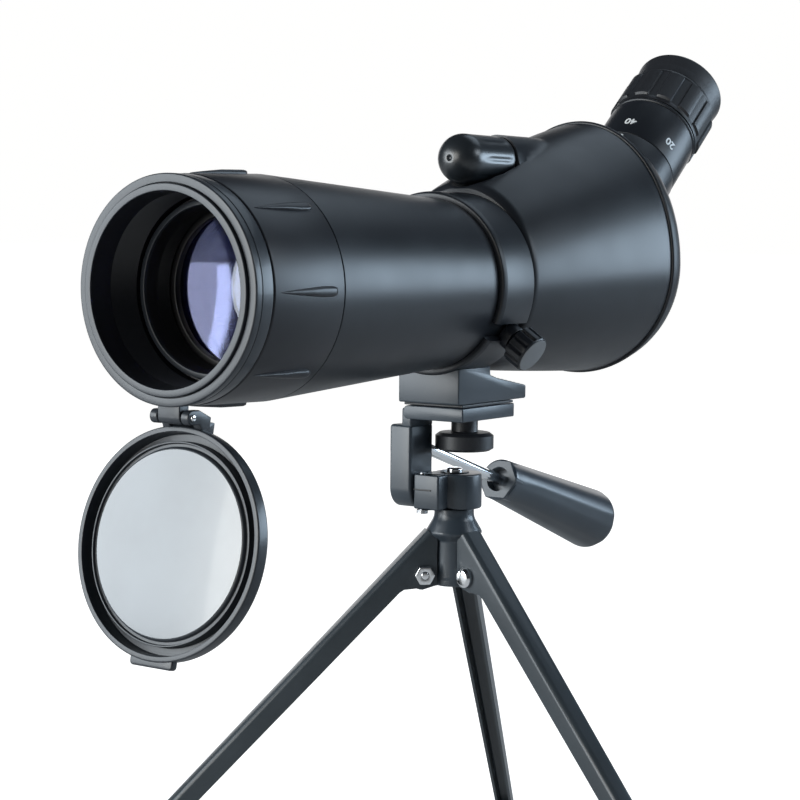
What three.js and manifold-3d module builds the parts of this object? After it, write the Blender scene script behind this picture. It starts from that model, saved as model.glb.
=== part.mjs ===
// Angled spotting scope with a zoom eyepiece and a flip-down lens cap, on a folding table tripod.
// Millimetres, +Z up. The scope points along -Y, and the origin is on the floor under the
// middle of the object. Inside the scope frame the origin is where the optical axis meets
// the front rim, so every y and z below counts from there.

import * as THREE from "three";
import { mergeVertices } from "three/addons/utils/BufferGeometryUtils.js";
import Module from "manifold-3d";

const wasm = await Module();
wasm.setup();

const DEG = Math.PI / 180;
const GAP = 0.3; // clearance left between pieces that touch

// ---------- driving dimensions ----------

const ORIGIN = { x: 21.08, y: 178.2, z: -267.6 }; // the part's origin, in the scope frame

// front of the scope
const HOOD = { front: -0.85, rear: 44.3, mouthR: 31.5, noseR: 33.8, frontR: 37.2, rearR: 38.05 };
const RIB = { count: 8, front: 12.3, rear: 40, width: 3, height: 1.1 };
const CAP_RING = { front: 0.2, rear: 8.6, innerR: 35.2, outerR: 37.05, lipR: 34.1, lipDepth: 1.2 };
const CELL = { front: 20.9, rear: 50.4, outerR: 31.1, boreR: 27.6, shoulder: 47.8, apertureR: 25.5 };
const BARREL = { front: 44.6, taperEnd: 143.5, rear: 168.6, wall: 3 };
const BARREL_R = { front: 38, end: 32.3, journal: 31.6 };
const STOP = { y: 100, thickness: 1.5, openingR: 19, outerR: 31 };

// prism housing and rear cover: oval sections that grow towards the rear
const HOUSING = { front: 168.9, rear: 258.9, wall: 2.8, apertureR: 26 };
const SECTION_FRONT = { halfWidth: 33.4, top: 38, bottom: -33.4 };
const SECTION_REAR = { halfWidth: 45.4, top: 65.6, bottom: -38.3 };
const GASKET = { front: 259.2, rear: 260.8, proud: 0.5 };
const COVER = { front: 261.1, depth: 26, wall: 2.6, fullness: 2.3 };

// focus drive: the knob's shaft moves a tray with the prism along two rods
const FOCUS = { z: 47.6, tip: 153.9, rear: 202.6, radius: 9.65, shaftR: 2.5 };
const SHAFT = { from: 190, to: 250 };
const FAIRING = { front: 202.9, rear: 221, radius: 10.3, grooveR: 10.9 };
const CHASSIS = { front: 208.6, rear: 211.4, halfWidth: 25.5, bottom: -17, top: 20, openingR: 16 };
const GUIDE = { x: 23, radius: 1.5, from: 211.7, to: 256 };
const TRAY = {
  front: 224,
  rear: 252,
  bottom: -18,
  floor: -15.5,
  wallInner: 14.2,
  wallOuter: 15.6,
  wallTop: 24,
  earReach: 27,
  earFront: 230,
  earRear: 244,
  armRear: 240,
};

// eyepiece, along its own tilted axis: s counts from the foot of the zoom sleeve
const EYEPIECE = { y: 305.6, z: 47.9, elevation: 39 * DEG };
const BOSS = { from: -48, to: -0.3, radius: 20.3, boreR: 16.6 };
const TUBE = { from: -16, to: 49.2, outerR: 16.2, innerR: 14.2 };
const SLEEVE = { from: 0.1, to: 46.8, radius: 20.05, innerR: 16.5, bead: 25.2, seatR: 18 };
const GRIP = { from: 25.9, to: 47.2, radius: 20.3, innerR: 18.3, blocks: 12, blockHeight: 0.7 };
const EYECUP = { from: 47.6, to: 60, radius: 19.8, openingR: 13.6 };

// flip cap, hanging open
const CAP = { y: 0.16, z: -80.65, tilt: -11.3 * DEG, radius: 37.9, depth: 7.8 };
// the cap's face: a raised disc, a thin ridge round it, and a groove that takes the hood's nose
const CAP_FACE = {
  discR: 31.3,
  disc: 1.3,
  ridgeR: 32.4,
  ridge: 1.5,
  grooveInner: 33,
  grooveOuter: 36,
  groove: 5.4,
};
const CAP_RECESS = { radius: 29.2, y: 3.4 }; // in the cap's outer side
const CAP_HINGE = { y: 4.01, z: -40.32, knuckleR: 2.3, pinR: 1.1 };
const TONGUE_HALF = 4.6; // half the width of the ring's tongue
const EAR = { inner: 5, outer: 8.2, rear: 13.2, root: -47 }; // the cap's two ears beside the tongue

// collar, foot and lock
const COLLAR = { front: 147.3, rear: 168.3, innerR: 32, outerR: 34.7 };
const SPLIT = { from: -36.5 * DEG, to: -24.5 * DEG };
const FOOT = { halfWidth: 13.8, front: 149.3, rear: 197.7, bottom: -45.5, bushR: 5.2 };
const LOCK = { y: 161.5, angle: -34 * DEG, bossR: 5, bossTop: 37, screwR: 2 };
const LOCK_KNOB = { radius: 6.95, top: 47.4, flutes: 10, fluteR: 1 };

// tilt bracket and camera screw
const PLATE = { left: -13.6, right: 13.9, front: 152, rear: 189, top: -46.9, bottom: -52.2 };
const ARM = { outer: -19.7, neck: -14.2, inner: -9.8, rear: 167.4, step: -54.6 };
const SCREW = { y: 174.8, radius: 3.1, top: -37.2 };
const WHEEL = { radius: 11.4, top: -58.1, bottom: -65.3, stemR: 5.2, chamfer: 1.6 };
const TILT = { y: 160.6, z: -79.3, pinR: 3, from: -18.4, to: 1 };

// pan head and handle
const PAN_Y = 168.15;
const HEAD = { radius: 10.6, top: -73.4, bottom: -86.9, left: -9.4, right: 2.2, front: 153.6 };
const CLAMP = { x: -6.4, y: 155.5, radius: 1.1, headR: 2.2, bottom: -88.6 };
const HANDLE = { x: -14.7, y: 223.4, z: -82.5, droop: 18.1 * DEG };
const HANDLE_GRIP = { length: 83, frontR: 8.7, endR: 13.2, socketR: 5, socketDepth: 5 };
const HANDLE_ROD = { radius: 2.4, end: 24 };

// tripod
const HUB = { top: -87.2, neckR: 7.7, postR: 5.4, bottom: -117.2, discR: 7.7 };
const FLARE = { top: -90.5, radius: 9.6, bottom: -95 };
const PAN_SCREW = { radius: 2.3, headR: 3.1, top: -71.4, seat: -73.1, bottom: -104 };
const LEG_AZIMUTHS = [225 * DEG, 345 * DEG, 113.5 * DEG];
const LEG = { pivotR: 12.6, pivotZ: -112.5, spread: 43.8 * DEG, back: 10.7, wall: 1.2 };
const LEG_WIDTH = { top: 9.8, end: 7.3 };
const LEG_SPAN = { top: -13.5, end: 212 };
const LUG = { halfWidth: 3.2, radius: 6.3 };
const TIP = { from: 203.5, to: 220, halfWidth: 5.7, front: 1.6, back: 12.7 };
const BOLT = { radius: 1.5, headR: 3.8, reach: 7.9, washer: 5.2 };

// ---------- geometry helpers ----------

// The geometry as a manifold-3d solid, its shared vertices merged and its faces turned outwards.
function solid(geometry) {
  const bare = geometry.index ? geometry.toNonIndexed() : geometry.clone();
  bare.deleteAttribute("normal");
  bare.deleteAttribute("uv");
  const merged = mergeVertices(bare, 1e-4);
  const points = merged.attributes.position;
  const corners = [];
  let volume = 0;
  for (let i = 0; i < merged.index.count; i += 3) {
    const [a, b, c] = [0, 1, 2].map((k) => merged.index.getX(i + k));
    if (a === b || b === c || c === a) continue;
    corners.push([a, b, c]);
    const [p, q, r] = [a, b, c].map((k) => new THREE.Vector3().fromBufferAttribute(points, k));
    volume += p.dot(q.cross(r));
  }
  const outward = volume < 0 ? corners.map(([a, b, c]) => [a, c, b]) : corners;
  const triVerts = new Uint32Array(outward.flat());
  return new wasm.Manifold(new wasm.Mesh({ numProp: 3, vertProperties: points.array, triVerts }));
}

function geometryOf(body) {
  const made = body.getMesh();
  const geometry = new THREE.BufferGeometry();
  geometry.setAttribute("position", new THREE.BufferAttribute(made.vertProperties, 3));
  geometry.setIndex(new THREE.BufferAttribute(made.triVerts, 1));
  return geometry;
}

function join(first, ...others) {
  return geometryOf(others.reduce((sum, other) => sum.add(solid(other)), solid(first)));
}

function cut(first, ...tools) {
  return geometryOf(tools.reduce((rest, tool) => rest.subtract(solid(tool)), solid(first)));
}

function meet(first, other) {
  return geometryOf(solid(first).intersect(solid(other)));
}

// Turns geometry made round +Y so that its axis lies along the named axis.
function along(geometry, axis) {
  if (axis === "x") return geometry.rotateZ(-Math.PI / 2);
  if (axis === "z") return geometry.rotateX(Math.PI / 2);
  return geometry;
}

// A turned piece: a profile of [radius, station] pairs, closed on itself unless it ends on the axis.
function turned(profile, segments = 32, axis = "y") {
  const points = profile.map(([r, s]) => new THREE.Vector2(r, s));
  if (profile[0][0] > 0 || profile[profile.length - 1][0] > 0) points.push(points[0].clone());
  return along(new THREE.LatheGeometry(points, segments), axis);
}

function rod(radius, from, to, axis = "y", segments = 24) {
  return turned([[0, from], [radius, from], [radius, to], [0, to]], segments, axis);
}

function block(x0, x1, y0, y1, z0, z1) {
  const geometry = new THREE.BoxGeometry(x1 - x0, y1 - y0, z1 - z0);
  return geometry.translate((x0 + x1) / 2, (y0 + y1) / 2, (z0 + z1) / 2);
}

// A flat plate: an outline of [y, z] points, running from x0 to x1.
function plate(outline, x0, x1) {
  const shape = new THREE.Shape(outline.map(([y, z]) => new THREE.Vector2(y, z)));
  const geometry = new THREE.ExtrudeGeometry(shape, { depth: x1 - x0, bevelEnabled: false });
  const turn = new THREE.Matrix4().makeBasis(
    new THREE.Vector3(0, 1, 0),
    new THREE.Vector3(0, 0, 1),
    new THREE.Vector3(1, 0, 0),
  );
  return geometry.applyMatrix4(turn).translate(x0, 0, 0);
}

// A closed skin through rings of points that all hold the same number of points.
function loft(rings) {
  const count = rings[0].length;
  const points = rings.flat();
  const corners = [];
  for (let k = 0; k < rings.length - 1; k++) {
    for (let i = 0; i < count; i++) {
      const [a, b] = [k * count + i, k * count + ((i + 1) % count)];
      corners.push(a, b, b + count, a, b + count, a + count);
    }
  }
  const last = (rings.length - 1) * count;
  for (let i = 1; i < count - 1; i++) {
    corners.push(0, i + 1, i, last, last + i, last + i + 1);
  }
  const geometry = new THREE.BufferGeometry().setFromPoints(points);
  return geometry.setIndex(corners);
}

const mix = (a, b, t) => a + (b - a) * t;

// ---------- materials ----------

const finish = (color, roughness, metalness) =>
  new THREE.MeshStandardMaterial({ color, roughness, metalness });

const MATERIAL = {
  shell: () => finish(0x17181b, 0.42, 0),
  trim: () => finish(0x24262b, 0.35, 0),
  rubber: () => finish(0x101113, 0.75, 0),
  glass: () => finish(0xaab6d8, 0.05, 0),
  chrome: () => finish(0xd8dadd, 0.12, 1),
  steel: () => finish(0x9b9ea3, 0.35, 1),
  brass: () => finish(0xb08d4a, 0.35, 1),
  dark: () => finish(0x0c0c0d, 0.7, 0),
  paint: () => finish(0x1a1d21, 0.38, 0.1),
};

const object = new THREE.Group();
const scopeFrame = new THREE.Group();
scopeFrame.position.set(-ORIGIN.x, -ORIGIN.y, -ORIGIN.z);
object.add(scopeFrame);

function part(name, geometry, material, holder = scopeFrame) {
  const mesh = new THREE.Mesh(geometry, material());
  mesh.name = name;
  holder.add(mesh);
}

// ---------- lens hood and the ring that holds the flip cap ----------

function hoodRibs() {
  const seat = (HOOD.frontR + HOOD.rearR) / 2;
  return Array.from({ length: RIB.count }, (_, i) => {
    const rib = block(-RIB.width / 2, RIB.width / 2, RIB.front, RIB.rear, seat - 2, seat + RIB.height);
    return rib.rotateY((i * 2 * Math.PI) / RIB.count);
  });
}

const hoodBody = turned([
  [HOOD.mouthR, HOOD.front],
  [HOOD.noseR, HOOD.front],
  [HOOD.noseR, CAP_RING.front + CAP_RING.lipDepth + GAP],
  [CAP_RING.innerR - GAP, CAP_RING.front + CAP_RING.lipDepth + GAP],
  [CAP_RING.innerR - GAP, CAP_RING.rear + GAP],
  [HOOD.frontR, CAP_RING.rear + GAP],
  [HOOD.rearR, HOOD.rear],
  [HOOD.mouthR, HOOD.rear],
]);
part("lens_hood", join(hoodBody, ...hoodRibs()), MATERIAL.shell);

// A tongue under the ring carries the cap's hinge pin.
function atHinge(geometry) {
  return geometry.translate(0, CAP_HINGE.y, CAP_HINGE.z);
}
const tongueEye = atHinge(rod(CAP_HINGE.knuckleR, -TONGUE_HALF, TONGUE_HALF, "x", 16));
const tongueWeb = block(
  -TONGUE_HALF,
  TONGUE_HALF,
  CAP_HINGE.y - CAP_HINGE.knuckleR,
  CAP_HINGE.y + CAP_HINGE.knuckleR,
  CAP_HINGE.z,
  -CAP_RING.outerR + 1.2,
);
const ringBody = turned([
  [CAP_RING.lipR, CAP_RING.front],
  [CAP_RING.outerR, CAP_RING.front],
  [CAP_RING.outerR, CAP_RING.rear],
  [CAP_RING.innerR, CAP_RING.rear],
  [CAP_RING.innerR, CAP_RING.front + CAP_RING.lipDepth],
  [CAP_RING.lipR, CAP_RING.front + CAP_RING.lipDepth],
]);
const pinReach = EAR.outer + 0.6;
const pinHole = atHinge(rod(CAP_HINGE.pinR + GAP, -pinReach, pinReach, "x", 16));
part("cap_ring", cut(join(ringBody, tongueEye, tongueWeb), pinHole), MATERIAL.trim);
part("cap_hinge_pin", atHinge(rod(CAP_HINGE.pinR, -pinReach, pinReach, "x", 16)), MATERIAL.steel);

// ---------- objective ----------

part(
  "objective_cell",
  turned([
    [CELL.boreR, CELL.front],
    [CELL.outerR, CELL.front],
    [CELL.outerR, CELL.rear],
    [CELL.apertureR, CELL.rear],
    [CELL.apertureR, CELL.shoulder],
    [CELL.boreR, CELL.shoulder],
  ]),
  MATERIAL.dark,
);

// Two elements with curved faces, a small gap apart, and the ring that holds them in.
const LENS_R = CELL.boreR - GAP;
const MID_R = LENS_R * 0.55;
const crownFront = [[0, 34.4], [MID_R, 35.1], [LENS_R, 37]];
const crownRear = [[LENS_R, 41.2], [MID_R, 43], [0, 43.6]];
const flintFront = [[0, 43.9], [MID_R, 43.3], [LENS_R, 41.6]];
const flintRear = [[LENS_R, 47.5], [MID_R, 47], [0, 46.8]];
part("crown_lens", turned([...crownFront, ...crownRear]), MATERIAL.glass);
part("flint_lens", turned([...flintFront, ...flintRear]), MATERIAL.glass);
part("retaining_ring", turned([[25, 33.4], [LENS_R, 33.4], [LENS_R, 36.5], [25, 35.6]]), MATERIAL.dark);

// ---------- barrel ----------

const journalInnerR = BARREL_R.journal - BARREL.wall;
part(
  "main_barrel",
  turned([
    [CELL.outerR + GAP, BARREL.front],
    [BARREL_R.front, BARREL.front],
    [BARREL_R.end, BARREL.taperEnd],
    [BARREL_R.end, COLLAR.front - GAP],
    [BARREL_R.journal, COLLAR.front - GAP],
    [BARREL_R.journal, BARREL.rear],
    [journalInnerR, BARREL.rear],
    [journalInnerR, BARREL.taperEnd],
    [BARREL_R.front - BARREL.wall, CELL.rear + 2],
    [CELL.outerR + GAP, CELL.rear + 2],
  ]),
  MATERIAL.shell,
);
const stopProfile = [
  [STOP.openingR, STOP.y],
  [STOP.outerR, STOP.y],
  [STOP.outerR, STOP.y + STOP.thickness],
  [STOP.openingR, STOP.y + STOP.thickness],
];
part("barrel_baffle", turned(stopProfile), MATERIAL.dark);

// ---------- prism housing, gasket and rear cover ----------

const RING_POINTS = 28;

// An oval ring of points at station y, from its half width and its top and bottom heights.
function oval(y, halfWidth, top, bottom) {
  const middle = (top + bottom) / 2;
  const halfHeight = (top - bottom) / 2;
  return Array.from({ length: RING_POINTS }, (_, i) => {
    const angle = (i * 2 * Math.PI) / RING_POINTS;
    return new THREE.Vector3(halfWidth * Math.cos(angle), y, middle + halfHeight * Math.sin(angle));
  });
}

// How far a section at station y has grown from the front one to the rear one.
function growth(y) {
  const t = (y - HOUSING.front) / (GASKET.front - HOUSING.front);
  return 1.35 * t - 0.35 * t * t;
}

function housingRing(y, inset) {
  const t = growth(y);
  return oval(
    y,
    mix(SECTION_FRONT.halfWidth, SECTION_REAR.halfWidth, t) - inset,
    mix(SECTION_FRONT.top, SECTION_REAR.top, t) - inset,
    mix(SECTION_FRONT.bottom, SECTION_REAR.bottom, t) + inset,
  );
}

const housingStations = [0, 0.25, 0.5, 0.75, 1].map((t) => mix(HOUSING.front, HOUSING.rear, t));
const housingOuter = loft(housingStations.map((y) => housingRing(y, 0)));

// The hollow stays low under the focus knob's groove and opens to full height behind it.
const hollowLow = (y) => oval(y, 30, FOCUS.z - FAIRING.grooveR - 3, -30.5);
const hollow = loft([
  hollowLow(HOUSING.front + HOUSING.wall),
  hollowLow(FAIRING.front),
  housingRing(FAIRING.front + 8, HOUSING.wall),
  ...[0.7, 0.85, 1.02].map((t) => housingRing(mix(HOUSING.front, HOUSING.rear, t), HOUSING.wall)),
]);
const fairing = turned(
  [
    [0, FAIRING.front],
    [FAIRING.radius, FAIRING.front],
    [FAIRING.radius, FAIRING.rear],
    [FAIRING.radius * 0.7, FAIRING.rear + FAIRING.radius * 0.7],
    [0, FAIRING.rear + FAIRING.radius],
  ],
  24,
).translate(0, 0, FOCUS.z);
const groove = rod(FAIRING.grooveR, FOCUS.tip, FAIRING.front, "y", 32).translate(0, 0, FOCUS.z);
const lightHole = rod(HOUSING.apertureR, HOUSING.front - 1, HOUSING.front + HOUSING.wall + 1, "y", 32);
const shaftHole = rod(FOCUS.shaftR + GAP, FAIRING.front - 1, FAIRING.front + 16, "y", 16);
shaftHole.translate(0, 0, FOCUS.z);
const fairingShell = meet(fairing, block(-20, 20, FAIRING.front, FAIRING.rear + 20, 30, 70));
part(
  "prism_housing",
  cut(join(cut(housingOuter, hollow), cut(fairingShell, hollow)), groove, lightHole, shaftHole),
  MATERIAL.shell,
);

const gasketOuter = loft([GASKET.front, GASKET.rear].map((y) => housingRing(y, -GASKET.proud)));
const gasketInner = loft([GASKET.front - 1, GASKET.rear + 1].map((y) => housingRing(y, HOUSING.wall)));
part("housing_gasket", cut(gasketOuter, gasketInner), MATERIAL.rubber);

const eyepieceFrame = new THREE.Group();
eyepieceFrame.position.set(0, EYEPIECE.y, EYEPIECE.z);
eyepieceFrame.rotation.x = EYEPIECE.elevation;
eyepieceFrame.updateMatrix();
scopeFrame.add(eyepieceFrame);

// Oval rings that close in towards the back of the cover.
function dome(inset, depth) {
  const stations = [0, 0.3, 0.55, 0.78, 0.92, 0.99];
  const middle = (SECTION_REAR.top + SECTION_REAR.bottom) / 2;
  const halfHeight = (SECTION_REAR.top - SECTION_REAR.bottom) / 2 - inset;
  return loft(
    stations.map((t) => {
      const scale = (1 - t ** COVER.fullness) ** (1 / COVER.fullness);
      const y = COVER.front + t * depth;
      const width = (SECTION_REAR.halfWidth - inset) * scale;
      return oval(y, width, middle + halfHeight * scale, middle - halfHeight * scale);
    }),
  );
}

const domeHollow = dome(COVER.wall, COVER.depth - COVER.wall);
const mouthInset = COVER.wall + 0.2;
const hollowMouth = loft([GASKET.rear - 2, COVER.front + 0.5].map((y) => housingRing(y, mouthInset)));
const boss = rod(BOSS.radius, BOSS.from, BOSS.to, "y", 28).applyMatrix4(eyepieceFrame.matrix);
const bossBore = rod(BOSS.boreR, BOSS.from - 20, BOSS.to + 1, "y", 28).applyMatrix4(eyepieceFrame.matrix);
const coverShell = cut(dome(0, COVER.depth), domeHollow, hollowMouth);

// Only the part of the boss outside the cover's hollow is kept.
const insideFront = block(-60, 60, COVER.front - 60, COVER.front + 2, -60, 90);
const bossSkin = cut(boss, domeHollow, insideFront);
part("rear_cover", cut(join(coverShell, bossSkin), bossBore), MATERIAL.shell);

// ---------- prism carriage on its rods, inside the housing ----------

part(
  "prism_chassis",
  cut(
    block(-CHASSIS.halfWidth, CHASSIS.halfWidth, CHASSIS.front, CHASSIS.rear, CHASSIS.bottom, CHASSIS.top),
    rod(CHASSIS.openingR, CHASSIS.front - 1, CHASSIS.rear + 1, "y", 24),
  ),
  MATERIAL.dark,
);
const guideRod = (side) => rod(GUIDE.radius, GUIDE.from, GUIDE.to, "y", 12).translate(side * GUIDE.x, 0, 0);
part("guide_rod_left", guideRod(1), MATERIAL.steel);
part("guide_rod_right", guideRod(-1), MATERIAL.steel);

// A block from x0 to x1 on the +X side and its mirror image on the other.
function pair(x0, x1, y0, y1, z0, z1) {
  return [block(x0, x1, y0, y1, z0, z1), block(-x1, -x0, y0, y1, z0, z1)];
}

// A tray with two side walls, an ear on each rod, and an arm up to the focus shaft.
const { front: trayFront, rear: trayRear, wallInner, wallOuter } = TRAY;
const trayFloor = block(-wallInner, wallInner, trayFront, trayRear, TRAY.bottom, TRAY.floor);
const trayWalls = pair(wallInner - 1, wallOuter, trayFront, trayRear, TRAY.bottom, TRAY.wallTop);
const trayEars = pair(wallInner, TRAY.earReach, TRAY.earFront, TRAY.earRear, -4, 4);
const [bridgeBottom, bridgeTop] = [TRAY.wallTop - 1, TRAY.wallTop + 2];
const trayBridge = block(-wallOuter, wallOuter, TRAY.earFront, TRAY.armRear, bridgeBottom, bridgeTop);
const nutArm = block(-5, 5, TRAY.earFront, TRAY.armRear, TRAY.wallTop + 1, FOCUS.z + 5);
const guideHole = rod(GUIDE.radius + GAP, TRAY.earFront - 1, TRAY.earRear + 1, "y", 16);
const nutHole = rod(FOCUS.shaftR + GAP, TRAY.earFront - 1, TRAY.armRear + 1, "y", 16);
part(
  "prism_carriage",
  cut(
    join(trayFloor, ...trayWalls, ...trayEars, trayBridge, nutArm),
    guideHole.clone().translate(GUIDE.x, 0, 0),
    guideHole.clone().translate(-GUIDE.x, 0, 0),
    nutHole.translate(0, 0, FOCUS.z),
  ),
  MATERIAL.dark,
);
const prismOutline = [[226, -13], [246, -13], [250, 4], [239, 18], [226, 12]];
part("roof_prism", plate(prismOutline, -12.8, 12.8), MATERIAL.glass);

// ---------- focus knob and its threaded shaft ----------

// A capsule: half a ball in front, then a straight grip that ends flat.
const knobNose = Array.from({ length: 7 }, (_, i) => {
  const angle = (i * Math.PI) / 12;
  return [FOCUS.radius * Math.sin(angle), FOCUS.tip + FOCUS.radius * (1 - Math.cos(angle))];
});
const knobRear = [[FOCUS.radius, FOCUS.rear - 0.8], [FOCUS.radius - 0.8, FOCUS.rear], [0, FOCUS.rear]];
const knob = turned([...knobNose, ...knobRear], 32);
const knobBore = rod(FOCUS.shaftR + GAP, SHAFT.from - GAP, FOCUS.rear + 1, "y", 16);
part("focus_knob", cut(knob, knobBore).translate(0, 0, FOCUS.z), MATERIAL.shell);
const focusShaft = rod(FOCUS.shaftR, SHAFT.from, SHAFT.to, "y", 16);
part("focus_shaft", focusShaft.translate(0, 0, FOCUS.z), MATERIAL.brass);

// ---------- zoom eyepiece ----------

part(
  "eyepiece_tube",
  turned(
    [
      [TUBE.innerR, TUBE.from],
      [TUBE.outerR, TUBE.from],
      [TUBE.outerR, TUBE.to],
      [11.6, TUBE.to],
      [11.6, TUBE.to - 2],
      [TUBE.innerR, TUBE.to - 2],
    ],
    32,
  ),
  MATERIAL.dark,
  eyepieceFrame,
);
const eyeLens = turned([[0, 40], [13.9, 40.6], [13.9, 45], [8, 46.4], [0, 46.8]], 28);
const zoomCell = turned([[10.6, 12], [13.8, 12], [13.8, 20], [10.6, 20]], 28);
const zoomLens = turned([[0, 14.2], [10.3, 13.4], [10.3, 18.4], [0, 17.6]], 28);
part("field_lens", rod(TUBE.innerR - GAP, -13, -9.5, "y", 28), MATERIAL.glass, eyepieceFrame);
part("eye_lens", eyeLens, MATERIAL.glass, eyepieceFrame);
part("zoom_lens_cell", zoomCell, MATERIAL.dark, eyepieceFrame);
part("zoom_lens", zoomLens, MATERIAL.glass, eyepieceFrame);
part(
  "zoom_sleeve",
  turned(
    [
      [SLEEVE.innerR, SLEEVE.from],
      [SLEEVE.radius, SLEEVE.from],
      [SLEEVE.radius, SLEEVE.bead],
      [SLEEVE.seatR, SLEEVE.bead],
      [SLEEVE.seatR, SLEEVE.to],
      [SLEEVE.innerR, SLEEVE.to],
    ],
    36,
  ),
  MATERIAL.shell,
  eyepieceFrame,
);

const gripBody = turned(
  [
    [GRIP.innerR, GRIP.from],
    [GRIP.radius, GRIP.from],
    [GRIP.radius, GRIP.to],
    [GRIP.innerR, GRIP.to],
  ],
  36,
);
const gripBlocks = Array.from({ length: GRIP.blocks }, (_, i) => {
  const top = GRIP.radius + GRIP.blockHeight;
  const rib = block(-3.4, 3.4, GRIP.from + 2, GRIP.to - 2, GRIP.radius - 1, top);
  return rib.rotateY((i * 2 * Math.PI) / GRIP.blocks);
});
part("zoom_grip", join(gripBody, ...gripBlocks), MATERIAL.rubber, eyepieceFrame);

part(
  "eyecup",
  turned(
    [
      [TUBE.outerR + GAP, EYECUP.from],
      [18.9, EYECUP.from],
      [EYECUP.radius, EYECUP.to - 3],
      [EYECUP.radius - 0.9, EYECUP.to - 0.6],
      [EYECUP.radius - 2.4, EYECUP.to],
      [EYECUP.openingR + 1.4, EYECUP.to - 1.6],
      [EYECUP.openingR, TUBE.to + 2.2],
      [EYECUP.openingR, TUBE.to + GAP],
      [TUBE.outerR + GAP, TUBE.to + GAP],
    ],
    36,
  ),
  MATERIAL.rubber,
  eyepieceFrame,
);

// ---------- flip cap ----------

const capFrame = new THREE.Group();
capFrame.position.set(0, CAP.y, CAP.z);
capFrame.rotation.x = CAP.tilt;
capFrame.updateMatrix();
scopeFrame.add(capFrame);

// The side that faces -Y in the cap's own frame meets the ring when the cap is shut.
const capDisc = turned(
  [
    [0, CAP_FACE.disc],
    [CAP_FACE.discR, CAP_FACE.disc],
    [CAP_FACE.discR, CAP_FACE.disc + 1.3],
    [CAP_FACE.ridgeR, CAP_FACE.disc + 1.3],
    [CAP_FACE.ridgeR, CAP_FACE.ridge],
    [CAP_FACE.grooveInner, CAP_FACE.ridge],
    [CAP_FACE.grooveInner, CAP_FACE.groove],
    [CAP_FACE.grooveOuter, CAP_FACE.groove],
    [CAP_FACE.grooveOuter, 0],
    [CAP.radius, 0],
    [CAP.radius, 4.4],
    [CAP.radius - 2.4, CAP.depth - 0.6],
    [CAP.radius - 4.6, CAP.depth],
    [CAP_RECESS.radius + 0.7, CAP.depth],
    [CAP_RECESS.radius, CAP_RECESS.y],
    [0, CAP_RECESS.y],
  ],
  48,
);
const intoCap = capFrame.matrix.clone().invert();

// An ear in the scope frame: round at the pin, then back and down into the cap's wall.
const earRound = Array.from({ length: 9 }, (_, i) => {
  const angle = (0.5 + i / 8) * Math.PI;
  const { y, z, knuckleR } = CAP_HINGE;
  return [y + knuckleR * Math.cos(angle), z + knuckleR * Math.sin(angle)];
});
const earFront = CAP_HINGE.y + CAP_HINGE.knuckleR + 1.1;
const earBottom = CAP_HINGE.z - CAP_HINGE.knuckleR;
const earOutline = [
  ...earRound,
  [earFront, earBottom],
  [earFront + 0.5, EAR.root],
  [EAR.rear - 0.6, EAR.root],
  [EAR.rear, CAP_HINGE.z - 0.4],
  [earFront, CAP_HINGE.z + CAP_HINGE.knuckleR],
];
const ears = [
  plate(earOutline, EAR.inner, EAR.outer),
  plate(earOutline, -EAR.outer, -EAR.inner),
  block(-EAR.outer, EAR.outer, earFront, EAR.rear - 0.6, EAR.root, earBottom - 0.6),
];
const fingerTab = plate(
  [[0.6, -CAP.radius + 1], [3.2, -CAP.radius + 1], [3.2, -CAP.radius - 2.4], [0.6, -CAP.radius - 2.8]],
  -9,
  9,
);
const capEars = cut(join(...ears), pinHole).applyMatrix4(intoCap);
const grooveSpace = rod(CAP_FACE.grooveOuter, -4, CAP_FACE.groove, "y", 48);
part("lens_cap", join(cut(capEars, grooveSpace), capDisc, fingerTab), MATERIAL.trim, capFrame);

// ---------- mounting collar with its foot ----------

const collarRing = turned([
  [COLLAR.innerR, COLLAR.front],
  [COLLAR.outerR - 1, COLLAR.front],
  [COLLAR.outerR, COLLAR.front + 1.5],
  [COLLAR.outerR, COLLAR.rear],
  [COLLAR.innerR, COLLAR.rear],
]);
const footOutline = [
  [FOOT.front, -30],
  [FOOT.front, FOOT.bottom],
  [FOOT.rear, FOOT.bottom],
  [FOOT.rear, FOOT.bottom + 5.2],
  [COLLAR.rear + 3.5, -35.6],
  [COLLAR.rear, -35],
  [COLLAR.rear, -30],
];
const barrelSpace = rod(COLLAR.innerR, COLLAR.front - 5, FOOT.rear + 5, "y", 32);

// The wedge that splits the ring on one side.
const splitReach = COLLAR.outerR + 4;
const splitShape = new THREE.Shape([
  new THREE.Vector2(0, 0),
  new THREE.Vector2(splitReach * Math.cos(SPLIT.from), splitReach * Math.sin(SPLIT.from)),
  new THREE.Vector2(splitReach * Math.cos(SPLIT.to), splitReach * Math.sin(SPLIT.to)),
]);
const splitWedge = new THREE.ExtrudeGeometry(splitShape, { depth: 40, bevelEnabled: false });
splitWedge.rotateX(Math.PI / 2).translate(0, COLLAR.rear + 10, 0);

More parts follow.
